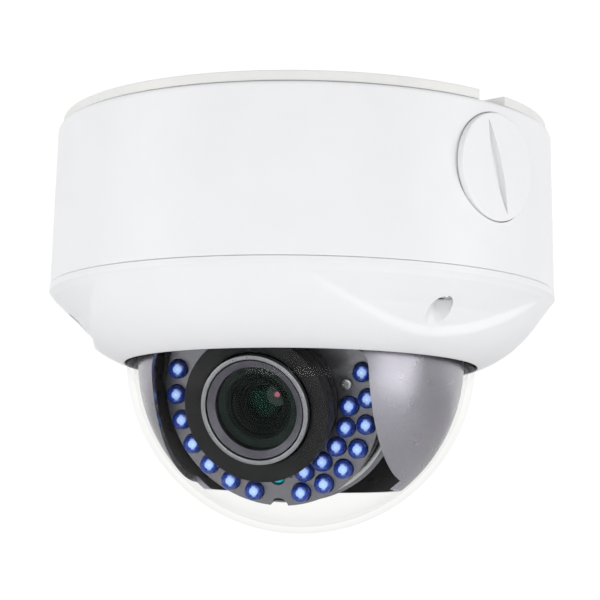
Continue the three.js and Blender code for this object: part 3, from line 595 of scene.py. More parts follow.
def mounting_plate():
    """Ceiling plate with a rim notch, keyholes, the gland's hole and three tabs into the housing."""
    plate = ring("ceiling_plate", 0, PLATE_R, -PLATE_T, 0, round_by=PLATE_ROUND)
    notch_low, notch_width, notch_depth = PLATE_R - 7, 10.3, 14
    notch = prism("notch", rectangle(notch_width, notch_depth, 0, -notch_low - notch_depth / 2), -9, 9,
                  at_azimuth(45.9))
    notch_end = prism("notch_end", circle(0, -notch_low - 1.6, notch_width / 2), -9, 9, at_azimuth(45.9))
    hole = prism("hole", circle(0, CABLE_Y, 11, 96), -9, 9)
    cuts = [notch, notch_end, hole]
    for azimuth in KEY_AZIMUTHS:
        cuts.append(prism("slot", stadium(2.3, KEY_IN, KEY_OUT), -9, 9, at_azimuth(azimuth)))
        cuts.append(prism("head", circle(0, -KEY_OUT, 4.2), -9, 9, at_azimuth(azimuth)))
    combine(plate, cuts)
    softened(plate, 0.2)
    finished(plate, ["mounting_plate"], "base", "plate_steel")
    top = -PLATE_T + 0.1
    leg = rounded([(-39, top), (-41, top), (-41, -6.2), (-46, -6.2), (-46, -8.2), (-39, -8.2)], 0.6)
    for i, azimuth in enumerate(TAB_AZIMUTHS):
        place = at_azimuth(azimuth) @ facing_x(1)
        tab = prism(f"plate_tab_{i + 1}", leg, -5, 5, place)
        finished(tab, [], "base", "plate_steel")


def conduit_cut(radius, low, high):
    return prism("conduit", circle(0, 0, radius, 96), low, high, PLUG_FRAME)


def base_housing():
    """Die-cast cup with a rounded top edge, a flat seat for the plug and posts for the cover's screws."""
    top = BASE_TOP
    top_r = BASE_R - 0.9
    floor = top - 3
    outline = [(0, top), (top_r, top), (BASE_R, BASE_LOW), (BASE_R - 4.4, BASE_LOW),
               (BASE_R - 4.4, BASE_LOW + 5), (BASE_R - WALL, BASE_LOW + 7), (top_r - WALL, floor), (0, floor)]
    shell = bevelled_turn(outline)
    extras = [prism("boss", circle(0, 0, 15.2, 96), PLUG_FACE - 12, BASE_R - 2.4, PLUG_FRAME)]
    for azimuth in SCREW_AZIMUTHS:
        place = at_azimuth(azimuth, SCREW_RAD)
        extras.append(prism("post", circle(0, 0, 5), BASE_LOW + 0.01, BASE_LOW + 11.5, place))
        extras.append(prism("rib", rectangle(7, 6.9, 0, -3.5), BASE_LOW + 0.01, BASE_LOW + 11.5, place))
    for azimuth in SCREW_AZIMUTHS:
        place = at_azimuth(azimuth + 60, LEG_RAD)
        extras.append(prism("socket", circle(0, 0, 5.7), floor - 10, floor + 1, place))
    combine(shell, extras, "UNION")
    cuts = [conduit_cut(PLUG_STUB_R + 0.3, 40, 90), conduit_cut(PLUG_R + 0.3, PLUG_FACE - SEAT, 90),
            prism("cable", circle(0, CABLE_Y, 8, 96), -20, 9)]
    for azimuth in SCREW_AZIMUTHS:
        place = at_azimuth(azimuth, SCREW_RAD)
        cuts.append(prism("thread", circle(0, 0, 2.3, 32), BASE_LOW - 1, BASE_LOW + 10, place))
        cuts.append(prism("leg", circle(0, 0, 3.9), floor - 12, floor, at_azimuth(azimuth + 60, LEG_RAD)))
    for azimuth in KEY_AZIMUTHS:
        cuts.append(prism("relief", stadium(5, KEY_IN, KEY_OUT), top - 2.2, top + 1, at_azimuth(azimuth)))
    for azimuth in TAB_AZIMUTHS:
        cuts.append(prism("tab_slot", rectangle(11.4, 8.6, 0, -43), -20, 9, at_azimuth(azimuth + 17)))
        cuts.append(prism("tab_track", arc_slot(37.8, 41.8, -8.6, 17), -20, 9, at_azimuth(azimuth)))
    combine(shell, cuts)
    groove = ring("groove", BASE_R - 3.4, BASE_R - 1.2, BASE_LOW - 1, BASE_LOW + 2, round_by=0)
    combine(shell, [groove])
    softened(shell, 0.3)
    finished(shell, ["base_housing"], "base", "white_paint")


def bevelled_turn(outline):
    """The turned shell with a soft outer top edge and a small round at the seam."""
    soft = []
    for i, point in enumerate(outline):
        if i == 1:
            soft += corner_arc(outline[0], point, outline[2], 1.3)
        elif i == 2:
            soft += corner_arc(outline[1], point, outline[3], 0.45)
        else:
            soft.append(point)
    return piece("housing_shell", turned_mesh(soft, FINE))


def corner_arc(before, point, after, radius, count=8):
    """One rounded corner between two straight edges."""
    here = Vector(point)
    back = (Vector(before) - here)
    ahead = (Vector(after) - here)
    cut = radius / math.tan(back.angle(ahead) / 2)
    start = here + back.normalized() * cut
    end = here + ahead.normalized() * cut
    steps = [i / count for i in range(count + 1)]
    spots = [start * (1 - t) ** 2 + here * 2 * t * (1 - t) + end * t ** 2 for t in steps]
    return [(spot.x, spot.y) for spot in spots]


def arc_slot(inner, outer, start, end, count=12):
    """A curved slot about Z between two azimuths."""
    angles = [math.radians(start + (end - start) * i / count) for i in range(count + 1)]
    outside = [(outer * math.sin(a), -outer * math.cos(a)) for a in angles]
    inside = [(inner * math.sin(a), -inner * math.cos(a)) for a in reversed(angles)]
    return outside + inside


def coin_slot(length, width, count=24):
    """A slot pointed at both ends and widest in the middle."""
    steps = [1 - 2 * i / count for i in range(count + 1)]
    right = [(width / 2 * (1 - t * t), -t * length / 2) for t in steps]
    left = [(-x, -y) for x, y in right[1:-1]]
    return right + left


def conduit_plug():
    """Round blanking plug with a pointed coin slot, and its O-ring."""
    face = PLUG_FACE
    outline = [(0, face - 11), (PLUG_STUB_R - 0.6, face - 11), (PLUG_STUB_R, face - 10.4)]
    pitch, crest = 1.2, 0.35
    turns = 4
    for i in range(turns):
        low = face - 10.2 + i * pitch
        outline += [(PLUG_STUB_R, low), (PLUG_STUB_R - crest, low + pitch / 2)]
    outline += [(PLUG_STUB_R, face - 5.4), (PLUG_STUB_R - 1.4, face - 5.4), (PLUG_STUB_R - 1.4, face - 3.4),
                (PLUG_STUB_R, face - 3.4), (PLUG_STUB_R, face - 2)]
    rim = corner_arc((PLUG_R, face - 2), (PLUG_R, face), (0, face), 0.55)
    outline += [(PLUG_R - 0.3, face - 2), (PLUG_R, face - 1.7)] + rim + [(0, face)]
    plug = piece("blanking_plug", turned_mesh(outline, MEDIUM * 2), PLUG_FRAME)
    tilt = Matrix.Rotation(math.radians(17.7), 4, "Z")
    slot = prism("slot", coin_slot(25, 3.4), face - 1.7, face + 3, PLUG_FRAME @ tilt)
    combine(plug, [slot])
    softened(plug, 0.14, 2, 50)
    finished(plug, ["conduit_plug"], "plug", "white_paint")
    seal = turned("plug_seal", arc(PLUG_STUB_R - 0.55, face - 4.4, 0.6, 0, 337.5, 15), PLUG_FRAME, MEDIUM, 0)
    finished(seal, ["plug_seal_ring"], "plug", "rubber")


def small_base_pieces():
    seal = turned("cover_seal_ring", arc(BASE_R - 2.3, BASE_LOW + 0.75, 0.82, 0, 337.5, 15), round_by=0)
    finished(seal, ["cover_seal"], "base", "rubber")
    floor = BASE_TOP - 3
    hole, neck, lip = 3.2, 7.7, 10.5
    outline = [(hole, floor - 2.3), (lip, floor - 2.3), (lip, floor - 0.3), (neck, floor - 0.3),
               (neck, -PLATE_T), (lip, -PLATE_T), (lip, -0.8), (hole, -0.8)]
    gland = turned("cable_grommet", outline, Matrix.Translation((0, CABLE_Y * MM, 0)), MEDIUM, 0.5)
    finished(gland, ["cable_gland"], "base", "rubber")


# ---- cover and clear dome ----
RIM_R = BASE_R + 0.15
RIM_LOW = COVER_TOP - 1.5
RIM_TOP = COVER_TOP + 0.2
Z_LIP = DOME_Z - 2.4
Z_LEDGE = Z_LIP + 4.7
SCOOP_LOW = Z_LIP + 4.6
SCOOP_HIGH = RIM_LOW - 1.6
SCOOP_DEPTH = 1.7
SCOOP_ANGLE = 34.0
COVER_WALL = 3.4
HEAD_SEAT = COVER_TOP - 3.5
LEDGE_R = DOME_R + 6.8


def shoulder(t):
    """Point and inward normal on the cover's outline, from its rim at 0 to the dome at 1."""
    wide, tall = RIM_R - LIP_R, RIM_LOW - Z_LIP
    a = Vector((RIM_R, RIM_LOW))
    b = Vector((RIM_R - 0.177 * wide, RIM_LOW - 0.213 * tall))
    c = Vector((LIP_R + 0.62 * wide, Z_LIP + 0.235 * tall))
    d = Vector((LIP_R, Z_LIP))
    point = a * (1 - t) ** 3 + b * 3 * t * (1 - t) ** 2 + c * 3 * t * t * (1 - t) + d * t ** 3
    along = (b - a) * (1 - t) ** 2 + (c - b) * 2 * t * (1 - t) + (d - c) * t * t
    along.normalize()
    return point, Vector((along.y, -along.x))


def step(value, low, high):
    """Smooth rise from 0 to 1 between two values."""
    t = min(max((value - low) / (high - low), 0.0), 1.0)
    return t * t * (3 - 2 * t)


def scoop_depth(z, azimuth):
    """How far the cover's surface is set in at a height and azimuth."""
    off = min(abs((azimuth - centre + 180) % 360 - 180) for centre in SCREW_AZIMUTHS) / SCOOP_ANGLE
    edge = SCOOP_LOW + (SCOOP_HIGH - SCOOP_LOW) * off * off
    fade = min(max((SCOOP_HIGH - z) / 7, 0.0), 1.0)
    return SCOOP_DEPTH * fade * step(z, edge - 0.8, edge + 0.8)


def cover_profile(azimuth, cavity):
    """The cover's section at an azimuth, from the lip round to its inside."""
    fine_steps = 84
    profile = [(LIP_R, Z_LEDGE), (LIP_R, Z_LIP + 0.25)]
    for k in range(fine_steps, -1, -1):
        point, normal = shoulder(k / fine_steps)
        inset = scoop_depth(point.y, azimuth) + (0.12 if k == fine_steps else 0.0)
        moved = point + normal * inset
        profile.append((moved.x, moved.y))
    profile += corner_arc((RIM_R, RIM_LOW), (RIM_R, RIM_TOP), (RIM_R - 4, RIM_TOP), 0.25, 4)
    profile += [(RIM_R - 4.0, RIM_TOP), (RIM_R - 4.0, cavity[0][1] + 0.5)] + cavity
    return profile + [(LEDGE_R, cavity[-1][1] - 0.3), (LEDGE_R, Z_LEDGE)]


def swept(name, section, sides):
    """A closed surface from a section that changes with the azimuth."""
    shape = bmesh.new()
    columns = []
    for i in range(sides):
        a = math.tau * i / sides
        points = section(math.degrees(a))
        columns.append([shape.verts.new((r * math.sin(a), -r * math.cos(a), z)) for r, z in points])
    for i in range(sides):
        left, right = columns[i], columns[(i + 1) % sides]
        for k in range(len(left)):
            m = (k + 1) % len(left)
            shape.faces.new((left[k], right[k], right[m], left[m]))
    return piece(name, shape, None, 40)


def boss_blank(azimuth):
    """Filled body just inside the cover's outer surface round one boss."""
    steps_up = 26
    shape = bmesh.new()
    rows = []
    for i in range(-12, 13):
        here = azimuth + i * 1.1
        a = math.radians(here)
        row = []
        for k in range(steps_up + 1):
            point, normal = shoulder(0.08 + 0.72 * k / steps_up)
            moved = point + normal * (scoop_depth(point.y, here) + 0.5)
            row.append((moved.x * math.sin(a), -moved.x * math.cos(a), moved.y))
        rows.append(row)
    outer = [[shape.verts.new(spot) for spot in row] for row in rows]
    top = [[shape.verts.new((x, y, COVER_TOP - 0.02)) for x, y, _ in row] for row in rows]
    count, length = len(rows), steps_up + 1
    for i in range(count - 1):
        for k in range(length - 1):
            shape.faces.new((outer[i][k], outer[i][k + 1], outer[i + 1][k + 1], outer[i + 1][k]))
            shape.faces.new((top[i][k], top[i + 1][k], top[i + 1][k + 1], top[i][k + 1]))
    for i in range(count - 1):
        for k in (0, length - 1):
            shape.faces.new((outer[i][k], outer[i + 1][k], top[i + 1][k], top[i][k]))
    for k in range(length - 1):
        for i in (0, count - 1):
            shape.faces.new((outer[i][k], outer[i][k + 1], top[i][k + 1], top[i][k]))
    return piece("blank", shape)


def front_cover():
    """Shoulder with three scoops over recessed screws; the inside is a plain offset of it."""
    inner = [shoulder(0.05 + 0.9 * i / 24) for i in range(25)]
    cavity = [tuple(p + n * COVER_WALL) for p, n in inner]
    cavity = [(r, z) for r, z in cavity if LEDGE_R < r < RIM_R - 4.0 and z > Z_LEDGE + 0.5]
    cover = swept("cover_shell", lambda azimuth: cover_profile(azimuth, cavity), 480)
    bosses = []
    for azimuth in SCREW_AZIMUTHS:
        place = at_azimuth(azimuth, SCREW_RAD)
        boss = prism("boss", circle(0, 0, 5.6, 64), HEAD_SEAT - 11, COVER_TOP - 0.05, place)
        combine(boss, [boss_blank(azimuth)], "INTERSECT")
        bosses.append(boss)
    combine(cover, bosses, "UNION", 40)
    cuts = []
    for azimuth in SCREW_AZIMUTHS:
        place = at_azimuth(azimuth, SCREW_RAD)
        cuts.append(prism("shaft", circle(0, 0, 2.3, 32), HEAD_SEAT - 1, COVER_TOP + 1, place))
        cuts.append(prism("recess", circle(0, 0, 3.5, 64), HEAD_SEAT - 30, HEAD_SEAT, place))
    combine(cover, cuts, smooth=40)
    softened(cover, 0.22, 3, 50)
    finished(cover, ["front_cover"], "cover", "white_paint")


def clear_dome():
    """Polished hemisphere with a short neck and a clamped flange, its gasket and its retaining ring."""
    flange_low = Z_LEDGE + 1.4
    flange_top = flange_low + 1.7
    inner = DOME_R - DOME_WALL
    outline = arc(0, DOME_Z, DOME_R, -90, 0, 64) + [(DOME_R, flange_low), (FLANGE_R, flange_low),
                                                    (FLANGE_R, flange_top), (inner, flange_top)]
    outline += arc(0, DOME_Z, inner, 0, -90, 64)
    dome = piece("dome_bubble", turned_mesh(outline, 192), None, 40)
    finished(dome, ["clear_dome"], "cover", "clear_dome")
    gasket = ring("dome_gasket_ring", DOME_R + 0.3, FLANGE_R, Z_LEDGE + 0.3, Z_LEDGE + 1.1, round_by=0.2)
    finished(gasket, ["dome_gasket"], "cover", "rubber")
    lip = ring("dome_lip_seal", DOME_R + 0.12, LIP_R - 0.05, Z_LIP + 0.45, Z_LEDGE + 0.4, round_by=0.1)
    finished(lip, [], "cover", "rubber")
    keeper = ring("dome_keeper", inner + 1.3, FLANGE_R, flange_top + 0.3, flange_top + 1.9, round_by=0.2)
    finished(keeper, ["dome_retainer"], "cover", "steel")


def cover_screws():
    """Captive tamper-resistant screws with a pinned star socket."""
    head_top = HEAD_SEAT - 0.3
    low = head_top - 3.4
    star = [(r * math.cos(a), r * math.sin(a)) for r, a in
            ((1.75 if i % 2 else 1.3, math.tau * i / 12) for i in range(12))]
    for i, azimuth in enumerate(SCREW_AZIMUTHS):
        place = at_azimuth(azimuth, SCREW_RAD)
        outline = [(0, low), (3.2, low), (3.2, head_top), (2, head_top)]
        for k in range(9):
            z = head_top + 3.5 + k * 0.7
            outline += [(2.0, z), (1.65, z + 0.35)]
        outline += [(2.0, head_top + 10), (1.4, BASE_LOW + 8.5), (0, BASE_LOW + 8.5)]
        screw = turned(f"cover_bolt_{i + 1}", outline, place, SMALL, 0.12)
        combine(screw, [prism("star", star, low - 1, low + 1.8, place)])
        pin = ring(f"cover_bolt_pin_{i + 1}", 0, 0.55, low + 0.3, low + 1.9, place, 24, 0.1)
        finished(screw, [f"cover_screw_{i + 1}"], "cover", "steel")
        finished(pin, [], "cover", "steel")


# ---- gimbal: base ring, pan ring, yoke arms and liner ----
GIMBAL_Z = BASE_LOW - 1.4
LINER_R = DOME_R - DOME_WALL - 1.3
LINER_IN = LINER_R - 1.3
LINER_Z = DOME_Z - 0.9
LINER_CUT = 35.0
SLOT_HALF = 30.3
SLOT_TOP = Z_LIP + 4
TILT_Z = TILT_CENTRE.z / MM
FRAME_R = 32.5
ARM_X = FRAME_R + 3.5
ARM_T = 2.0
ARM_W = 14.0


def along_x(side):
    return Matrix.Rotation(math.radians(90 * side), 4, "Y")


def gimbal_base():
    low = GIMBAL_Z - 2
    base = ring("gimbal_ring", LINER_IN + 1.4, SCREW_RAD - 6.5, low, GIMBAL_Z)
    legs = [prism("leg", circle(0, 0, 3.6), low, BASE_TOP - 3.3, at_azimuth(a + 60, LEG_RAD))
            for a in SCREW_AZIMUTHS]
    combine(base, legs, "UNION")
    softened(base, 0.3)
    finished(base, ["gimbal_base"], "base", "black_plastic")


def pan_pieces():
    """Turning ring, its two arms and the grey inner liner with its lens slot."""
    tube = LINER_IN - 0.3
    low = GIMBAL_Z + 0.3
    flange = DOME_R + 0.5
    turn = turned("turning_ring", [(tube - 1.7, BASE_LOW - 10.4), (tube, BASE_LOW - 10.4), (tube, low),
                                   (flange, low), (flange, low + 1.7), (tube - 1.7, low + 1.7)], PAN_FRAME)
    finished(turn, ["pan_ring"], "pan", "black_plastic")
    for side, label in ((1, "right"), (-1, "left")):
        foot = low + 2.0
        stem = [(-ARM_W / 2, foot + ARM_T), (-ARM_W / 2, TILT_Z)]
        stem += [(x, TILT_Z + z) for x, z in arc(0, 0, ARM_W / 2, 180, 360, 24)]
        stem.append((ARM_W / 2, foot + ARM_T))
        arm = prism(f"arm_{label}", stem, ARM_X, ARM_X + ARM_T, PAN_FRAME @ facing_x(side))
        reach_out = flange - 1.5 - ARM_X
        middle = side * (ARM_X + reach_out / 2)
        shelf = prism("shelf", rectangle(reach_out, ARM_W, middle), foot, foot + ARM_T, PAN_FRAME)
        combine(arm, [shelf], "UNION")
        bolt_hole = prism("hole", circle(0, 0, 1.8), ARM_X - 2, ARM_X + 5,
                          PAN_FRAME @ Matrix.Translation((0, 0, TILT_CENTRE.z)) @ along_x(side))
        combine(arm, [bolt_hole])
        softened(arm, 0.3)
        finished(arm, [f"yoke_arm_{label}"], "pan", "steel")
    cut_angle = [-math.degrees(math.asin(LINER_CUT / radius)) for radius in (LINER_R, LINER_IN)]
    outline = arc(0, LINER_Z, LINER_R, cut_angle[0], 0, 48)
    outline += [(LINER_R, BASE_LOW - 5.4), (LINER_IN, BASE_LOW - 5.4)]
    outline += arc(0, LINER_Z, LINER_IN, 0, cut_angle[1], 48)
    skin = piece("inner_liner", turned_mesh(outline, FINE), PAN_FRAME)
    corner = 8
    window = [(-SLOT_HALF, -130), (SLOT_HALF, -130)]
    window += arc(SLOT_HALF - corner, SLOT_TOP - corner, corner, 0, 90, 16)
    window += arc(-SLOT_HALF + corner, SLOT_TOP - corner, corner, 90, 180, 16)
    forward = Matrix(((1, 0, 0, 0), (0, 0, -1, 0), (0, 1, 0, 0), (0, 0, 0, 1)))
    combine(skin, [prism("window", window, 0, 60, PAN_FRAME @ forward)])
    softened(skin, 0.3, 3, 40)
    finished(skin, ["liner"], "pan", "liner_plastic")


# ---- tilt ring ----
RING_LOW, RING_HIGH = 9.0, 13.0
MODULE_R = 29.8
EAR_IN = FRAME_R - 0.6
EAR_OUT = FRAME_R + 2.1


def tilt_pieces():
    hoop = ring("tilt_hoop", MODULE_R + 0.3, FRAME_R, RING_LOW, RING_HIGH, RING_FRAME)
    ears = []
    for side in (1, -1):
        strap = [(-4.5, RING_HIGH)] + arc(0, 0, 4.5, 180, 360, 20) + [(4.5, RING_HIGH)]
        ears.append(prism("ear", strap, EAR_IN, EAR_OUT, RING_FRAME @ facing_x(side)))
        ears.append(prism("boss", circle(0, 0, 3.4), EAR_OUT - 0.5, ARM_X - 0.3, RING_FRAME @ along_x(side)))
    combine(hoop, ears, "UNION")
    combine(hoop, [prism("bore", circle(0, 0, 1.8), -60, 60, RING_FRAME @ along_x(1))])
    softened(hoop, 0.3)
    finished(hoop, ["tilt_ring"], "tilt", "satin_metal")
    head = ARM_X + ARM_T + 0.3
    hexagon = circle(0, 0, 1.3, 6)
    for side, label in ((1, "right"), (-1, "left")):
        place = RING_FRAME @ along_x(side)
        outline = [(0, FRAME_R - 0.3), (1.5, FRAME_R - 0.3), (1.5, head), (3.2, head), (3.2, head + 1.9),
                   (0, head + 1.9)]
        bolt = turned(f"pivot_bolt_{label}", outline, place, SMALL, 0.3)
        combine(bolt, [prism("socket", hexagon, head + 0.8, head + 4, place)])
        finished(bolt, [f"tilt_pivot_{label}"], "tilt", "steel")


# ---- lens module: lengths are along the lens axis from the tilt axis ----
HOUSING_FRONT = 18.7
FACE = 24.0
FACE_T = 1.5
FACE_R = MODULE_R + 0.4
FACE_BORE = 16.55
COLLAR_R, COLLAR_FACE = 19.85, 36.3
RING_R, RING_FACE = 14.75, 37.4
GLASS_R = 10.85
BARREL_R = 12.6
LED_BASE, LED_TIP, LED_R = 20.9, 27.5, 2.5
OUTER_ROW = (26.9, 14.3, 15.26, 7)
INNER_ROW = (21.8, 21.6, 15.9, 5)
SENSOR_RAD = 22.0


def on_module(target, nodes, slot, surface=None):
    return finished(target, nodes, "module", slot, surface)


def off_axis(x, y):
    """A place beside the lens axis."""
    return LENS_FRAME @ Matrix.Translation((x * MM, y * MM, 0))


def about_lens(degrees):
    return LENS_FRAME @ Matrix.Rotation(math.radians(degrees), 4, "Z")


def module_body():
    inner = MODULE_R - 1.8
    rim = FRAME_R - 0.9
    outline = [(6, -10), (MODULE_R, -10), (MODULE_R, 6.5), (rim, 6.5), (rim, 8.7), (MODULE_R, 8.7),
               (MODULE_R, HOUSING_FRONT), (inner, HOUSING_FRONT), (inner, -8), (6, -8)]
    shell = turned("module_can", outline, LENS_FRAME, FINE, 0.6)
    posts = [prism("post", circle(0, 0, 2.2, 32), -8.5, -6.9,
                   about_lens(45 + 90 * i) @ Matrix.Translation((15 * MM, 0, 0))) for i in range(4)]
    combine(shell, posts, "UNION")
    on_module(shell, ["module_housing"], "black_plastic")
    clip = ring("snap_ring", MODULE_R + 0.3, FRAME_R - 1.1, RING_HIGH + 0.3, RING_HIGH + 1.5, LENS_FRAME)
    on_module(clip, ["rotation_ring"], "steel")
    board = prism("image_board", rectangle(34, 34), -6.6, -5.0, LENS_FRAME, 0.1)
    on_module(board, ["sensor_board"], "circuit_board")
    lamp_board = ring("lamp_board", FACE_BORE + 1, MODULE_R - 0.4, 19.0, 20.6, LENS_FRAME, FINE, 0.1)
    on_module(lamp_board, ["led_board"], "circuit_board")


def lamp_places():
    places = []
    for radius, first, turn, pairs in (OUTER_ROW, INNER_ROW):
        for k in range(pairs):
            for side in (1, -1):
                a = math.radians(side * (first + turn * k))
                places.append((radius * math.sin(a), -radius * math.cos(a)))
    return places


def face_plate():
    """Round satin plate with a hole for each lamp, three rim notches and the sensor's well."""
    low = FACE - FACE_T
    plate = turned("lamp_face", [(FACE_BORE, low), (FACE_R - 0.5, low), (FACE_R - 0.5, 19), (FACE_R, 19),
                                 (FACE_R, FACE), (FACE_BORE, FACE)], LENS_FRAME, FINE, 0.3)
    cuts = [prism("hole", circle(x, y, LED_R + 0.25, 40), low - 1, FACE + 1, LENS_FRAME)
            for x, y in lamp_places()]
    cuts.append(prism("well", circle(0, -SENSOR_RAD, 2.4), low - 1, FACE + 1, LENS_FRAME))
    for i in range(3):
        cuts.append(prism("notch", circle(0, -FACE_R - 0.4, 2.6), FACE - 3, FACE + 1, about_lens(120 * i)))
    cuts.append(prism("dimple", circle(3.9, -21.2, 1.0, 32), FACE - 0.7, FACE + 1, LENS_FRAME))
    combine(plate, cuts, smooth=25)
    softened(plate, 0.16, 2, 40)
    on_module(plate, ["front_plate"], "satin_metal")
    a = math.radians(101)
    radius = INNER_ROW[0]
    place = off_axis(radius * math.sin(a), -radius * math.cos(a))
    screw = ring("face_screw", 0, 1.5, FACE + 0.3, FACE + 1.3, place, SMALL, 0.4)
    combine(screw, [prism("cross", rectangle(wide, tall), FACE + 0.8, FACE + 2, place)
                    for wide, tall in ((1.7, 0.4), (0.4, 1.7))])
    on_module(screw, ["plate_screw"], "steel")
    outline = [(0, LED_BASE), (2.1, LED_BASE)] + arc(0, FACE - 1.2, 2.1, 0, 90, 12)
    eye = turned("sensor_eye", outline, off_axis(0, -SENSOR_RAD), SMALL, 0)
    on_module(eye, ["light_sensor"], "sensor_window")


def lamps():
    """Clear blue lamps: epoxy body, reflector cup and the bright lead frame seen through it; cup and lead
    frame glow with painted light, and a painted highlight arc sits in each lamp.
    """
    bar = [(0.5, 1.75), (0.42, 0.95), (1.0, 0.8), (1.25, 0.1), (0.95, -0.7), (0.42, -0.95), (0.5, -1.75)]
    frame_outline = bar + [(-x, -y) for x, y in bar]
    # painted highlight: outline of a thin bright arc in each lamp, standing in for a reflection on its resin
    painted_glint = arc_slot(1.75, 2.1, 105, 175, 10)
    floor = LED_BASE + 0.2
    body_outline = [(0, LED_BASE), (LED_R, LED_BASE)] + arc(0, LED_TIP - LED_R, LED_R, 0, 90, 14)
    cup_outline = [(0, floor), (1.7, floor), (1.95, LED_TIP - 2.6), (1.75, LED_TIP - 2.5),
                   (1.3, LED_TIP - 3.0), (0, LED_TIP - 3.0)]
    for i, (x, y) in enumerate(lamp_places()):
        label = f"{i + 1:02d}"
        place = off_axis(x, y)
        body = turned(f"lamp_{label}", body_outline, place, SMALL, 0)
        on_module(body, [f"led_{label}"], "led_epoxy")
        cup = turned(f"lamp_cup_{label}", cup_outline, place, 40, 0.1)
        on_module(cup, [], "led_epoxy", LED_CUP_GLOW)
        lead = prism(f"lamp_frame_{label}", frame_outline, LED_TIP - 2.95, LED_TIP - 2.2, place)
        combine(lead, [prism("eye", circle(0.1, 0, 0.42, 20), LED_TIP - 2.5, LED_TIP, place)])
        on_module(lead, [], "led_epoxy", LED_DIE_GLOW_AND_GLINT)
        # the painted highlight arc, in the glowing lead-frame material
        shine = prism(f"lamp_glint_{label}", painted_glint, LED_TIP - 2.3, LED_TIP - 2.15, place)
        on_module(shine, [], "led_epoxy", LED_DIE_GLOW_AND_GLINT)


def lens():
    """Collar, light ring, barrel with its grey bevel, front glass, the elements seen inside and a painted
    reflection beside the axis: a grey disc with a glowing red spot.
    """
    foot = 18.9
    neck = foot - 1.2
    bore = RING_R + 0.35
    outline = [(bore, FACE + 0.3), (foot, FACE + 0.3), (foot, FACE + 1.5), (neck, FACE + 1.9),
               (neck, LED_TIP + 2.6), (COLLAR_R, LED_TIP + 3.8), (COLLAR_R, COLLAR_FACE),
               (bore, COLLAR_FACE - 0.6)]
    collar = turned("dark_collar", outline, LENS_FRAME, FINE, 0.45)
    on_module(collar, ["lens_collar"], "collar_plastic")
    bright = ring("light_ring", RING_R - 1.25, RING_R, RING_FACE - 1.7, RING_FACE, LENS_FRAME, FINE, 0.3)
    on_module(bright, ["lens_ring"], "ring_metal")
    nose = RING_R - 1.55
    seat = GLASS_R + 0.3
    rim = RING_R - 0.35
    outline = [(9, -4.7), (16, -4.7), (16, -3), (BARREL_R, -3), (BARREL_R, 29), (rim, 30),
               (rim, RING_FACE - 2), (nose, RING_FACE - 2), (nose, RING_FACE - 1.0),
               (seat + 0.4, RING_FACE - 2.1), (seat, RING_FACE - 3.7), (9, RING_FACE - 3.7)]
    barrel = turned("barrel", outline, LENS_FRAME, FINE, 0.2)
    on_module(barrel, ["lens_barrel"], "black_metal")
    outline = [(nose - 0.05, RING_FACE - 0.9), (nose - 0.05, RING_FACE - 0.35),
               (seat + 0.1, RING_FACE - 1.5), (seat + 0.1, RING_FACE - 1.95)]
    bevel = turned("grey_bevel", outline, LENS_FRAME, FINE, 0.1)
    on_module(bevel, [], "black_metal", BEVEL_METAL)
    bulge = 1.1
    edge = RING_FACE - 2.2
    radius = (GLASS_R ** 2 + bulge ** 2) / (2 * bulge)
    half = math.degrees(math.asin(GLASS_R / radius))
    outline = [(0, edge - 1.2), (GLASS_R, edge - 1.2)]
    outline += arc(0, edge + bulge - radius, radius, 90 - half, 90, 24)
    front = turned("front_element", outline, LENS_FRAME, MEDIUM, 0)
    on_module(front, ["front_glass"], "lens_glass")
    inside = [(8.9, 33.4)]
    for i in range(5):
        inside += [(8.5 - 0.75 * i, 33.2 - 0.9 * i), (8.0 - 0.75 * i, 33.2 - 0.9 * i)]
    inside += [(4.6, 28.6), (4.6, 27.6), (8.9, 27.6)]
    steps_piece = piece("inner_baffle", turned_mesh(inside, MEDIUM), LENS_FRAME)
    on_module(steps_piece, [], "black_metal", INNER_BLACK)
    outline = [(0, 28.2), (4.5, 28.2)] + arc(0, 21.0, 9.0, 60, 90, 16)
    second = turned("second_element", outline, LENS_FRAME, MEDIUM, 0)
    on_module(second, [], "lens_glass", COATED_GLASS)
    cell = ring("element_cell", 6.6, 7.3, 32.2, 32.7, LENS_FRAME, MEDIUM, 0.15)
    on_module(cell, [], "black_metal", INNER_BLACK)
    # painted reflection: a grey disc and a glowing red spot, set beside the lens axis
    disc = ring("reflected_disc", 0, 2.9, 31.4, 31.6, off_axis(4.6, 2.6), SMALL, 0.05)
    on_module(disc, [], "lens_glass", PAINTED_GREY_REFLECTION)
    painted_glint = ring("reflected_spot", 0, 0.75, 31.7, 31.9, off_axis(4.7, 2.9), SMALL, 0.05)
    on_module(painted_glint, [], "lens_glass", PAINTED_RED_REFLECTION)


def setting_rings():
    """Zoom and focus rings round the barrel, each with its lever."""
    for body, low, azimuth in (("zoom", 13, 60), ("focus", 4, -60)):
        hoop = ring(f"{body}_hoop", BARREL_R + 0.3, BARREL_R + 3.4, low, low + 4, LENS_FRAME, MEDIUM, 0.3)
        out = (about_lens(azimuth) @ Matrix.Translation((0, 0, (low + 2) * MM))
               @ Matrix.Rotation(math.radians(90), 4, "X"))
        lever = ring("lever", 0, 1.1, BARREL_R + 2, 24, out, SMALL, 0.5)
        combine(hoop, [lever], "UNION")
        finished(hoop, [f"{body}_ring"], body, "black_plastic")


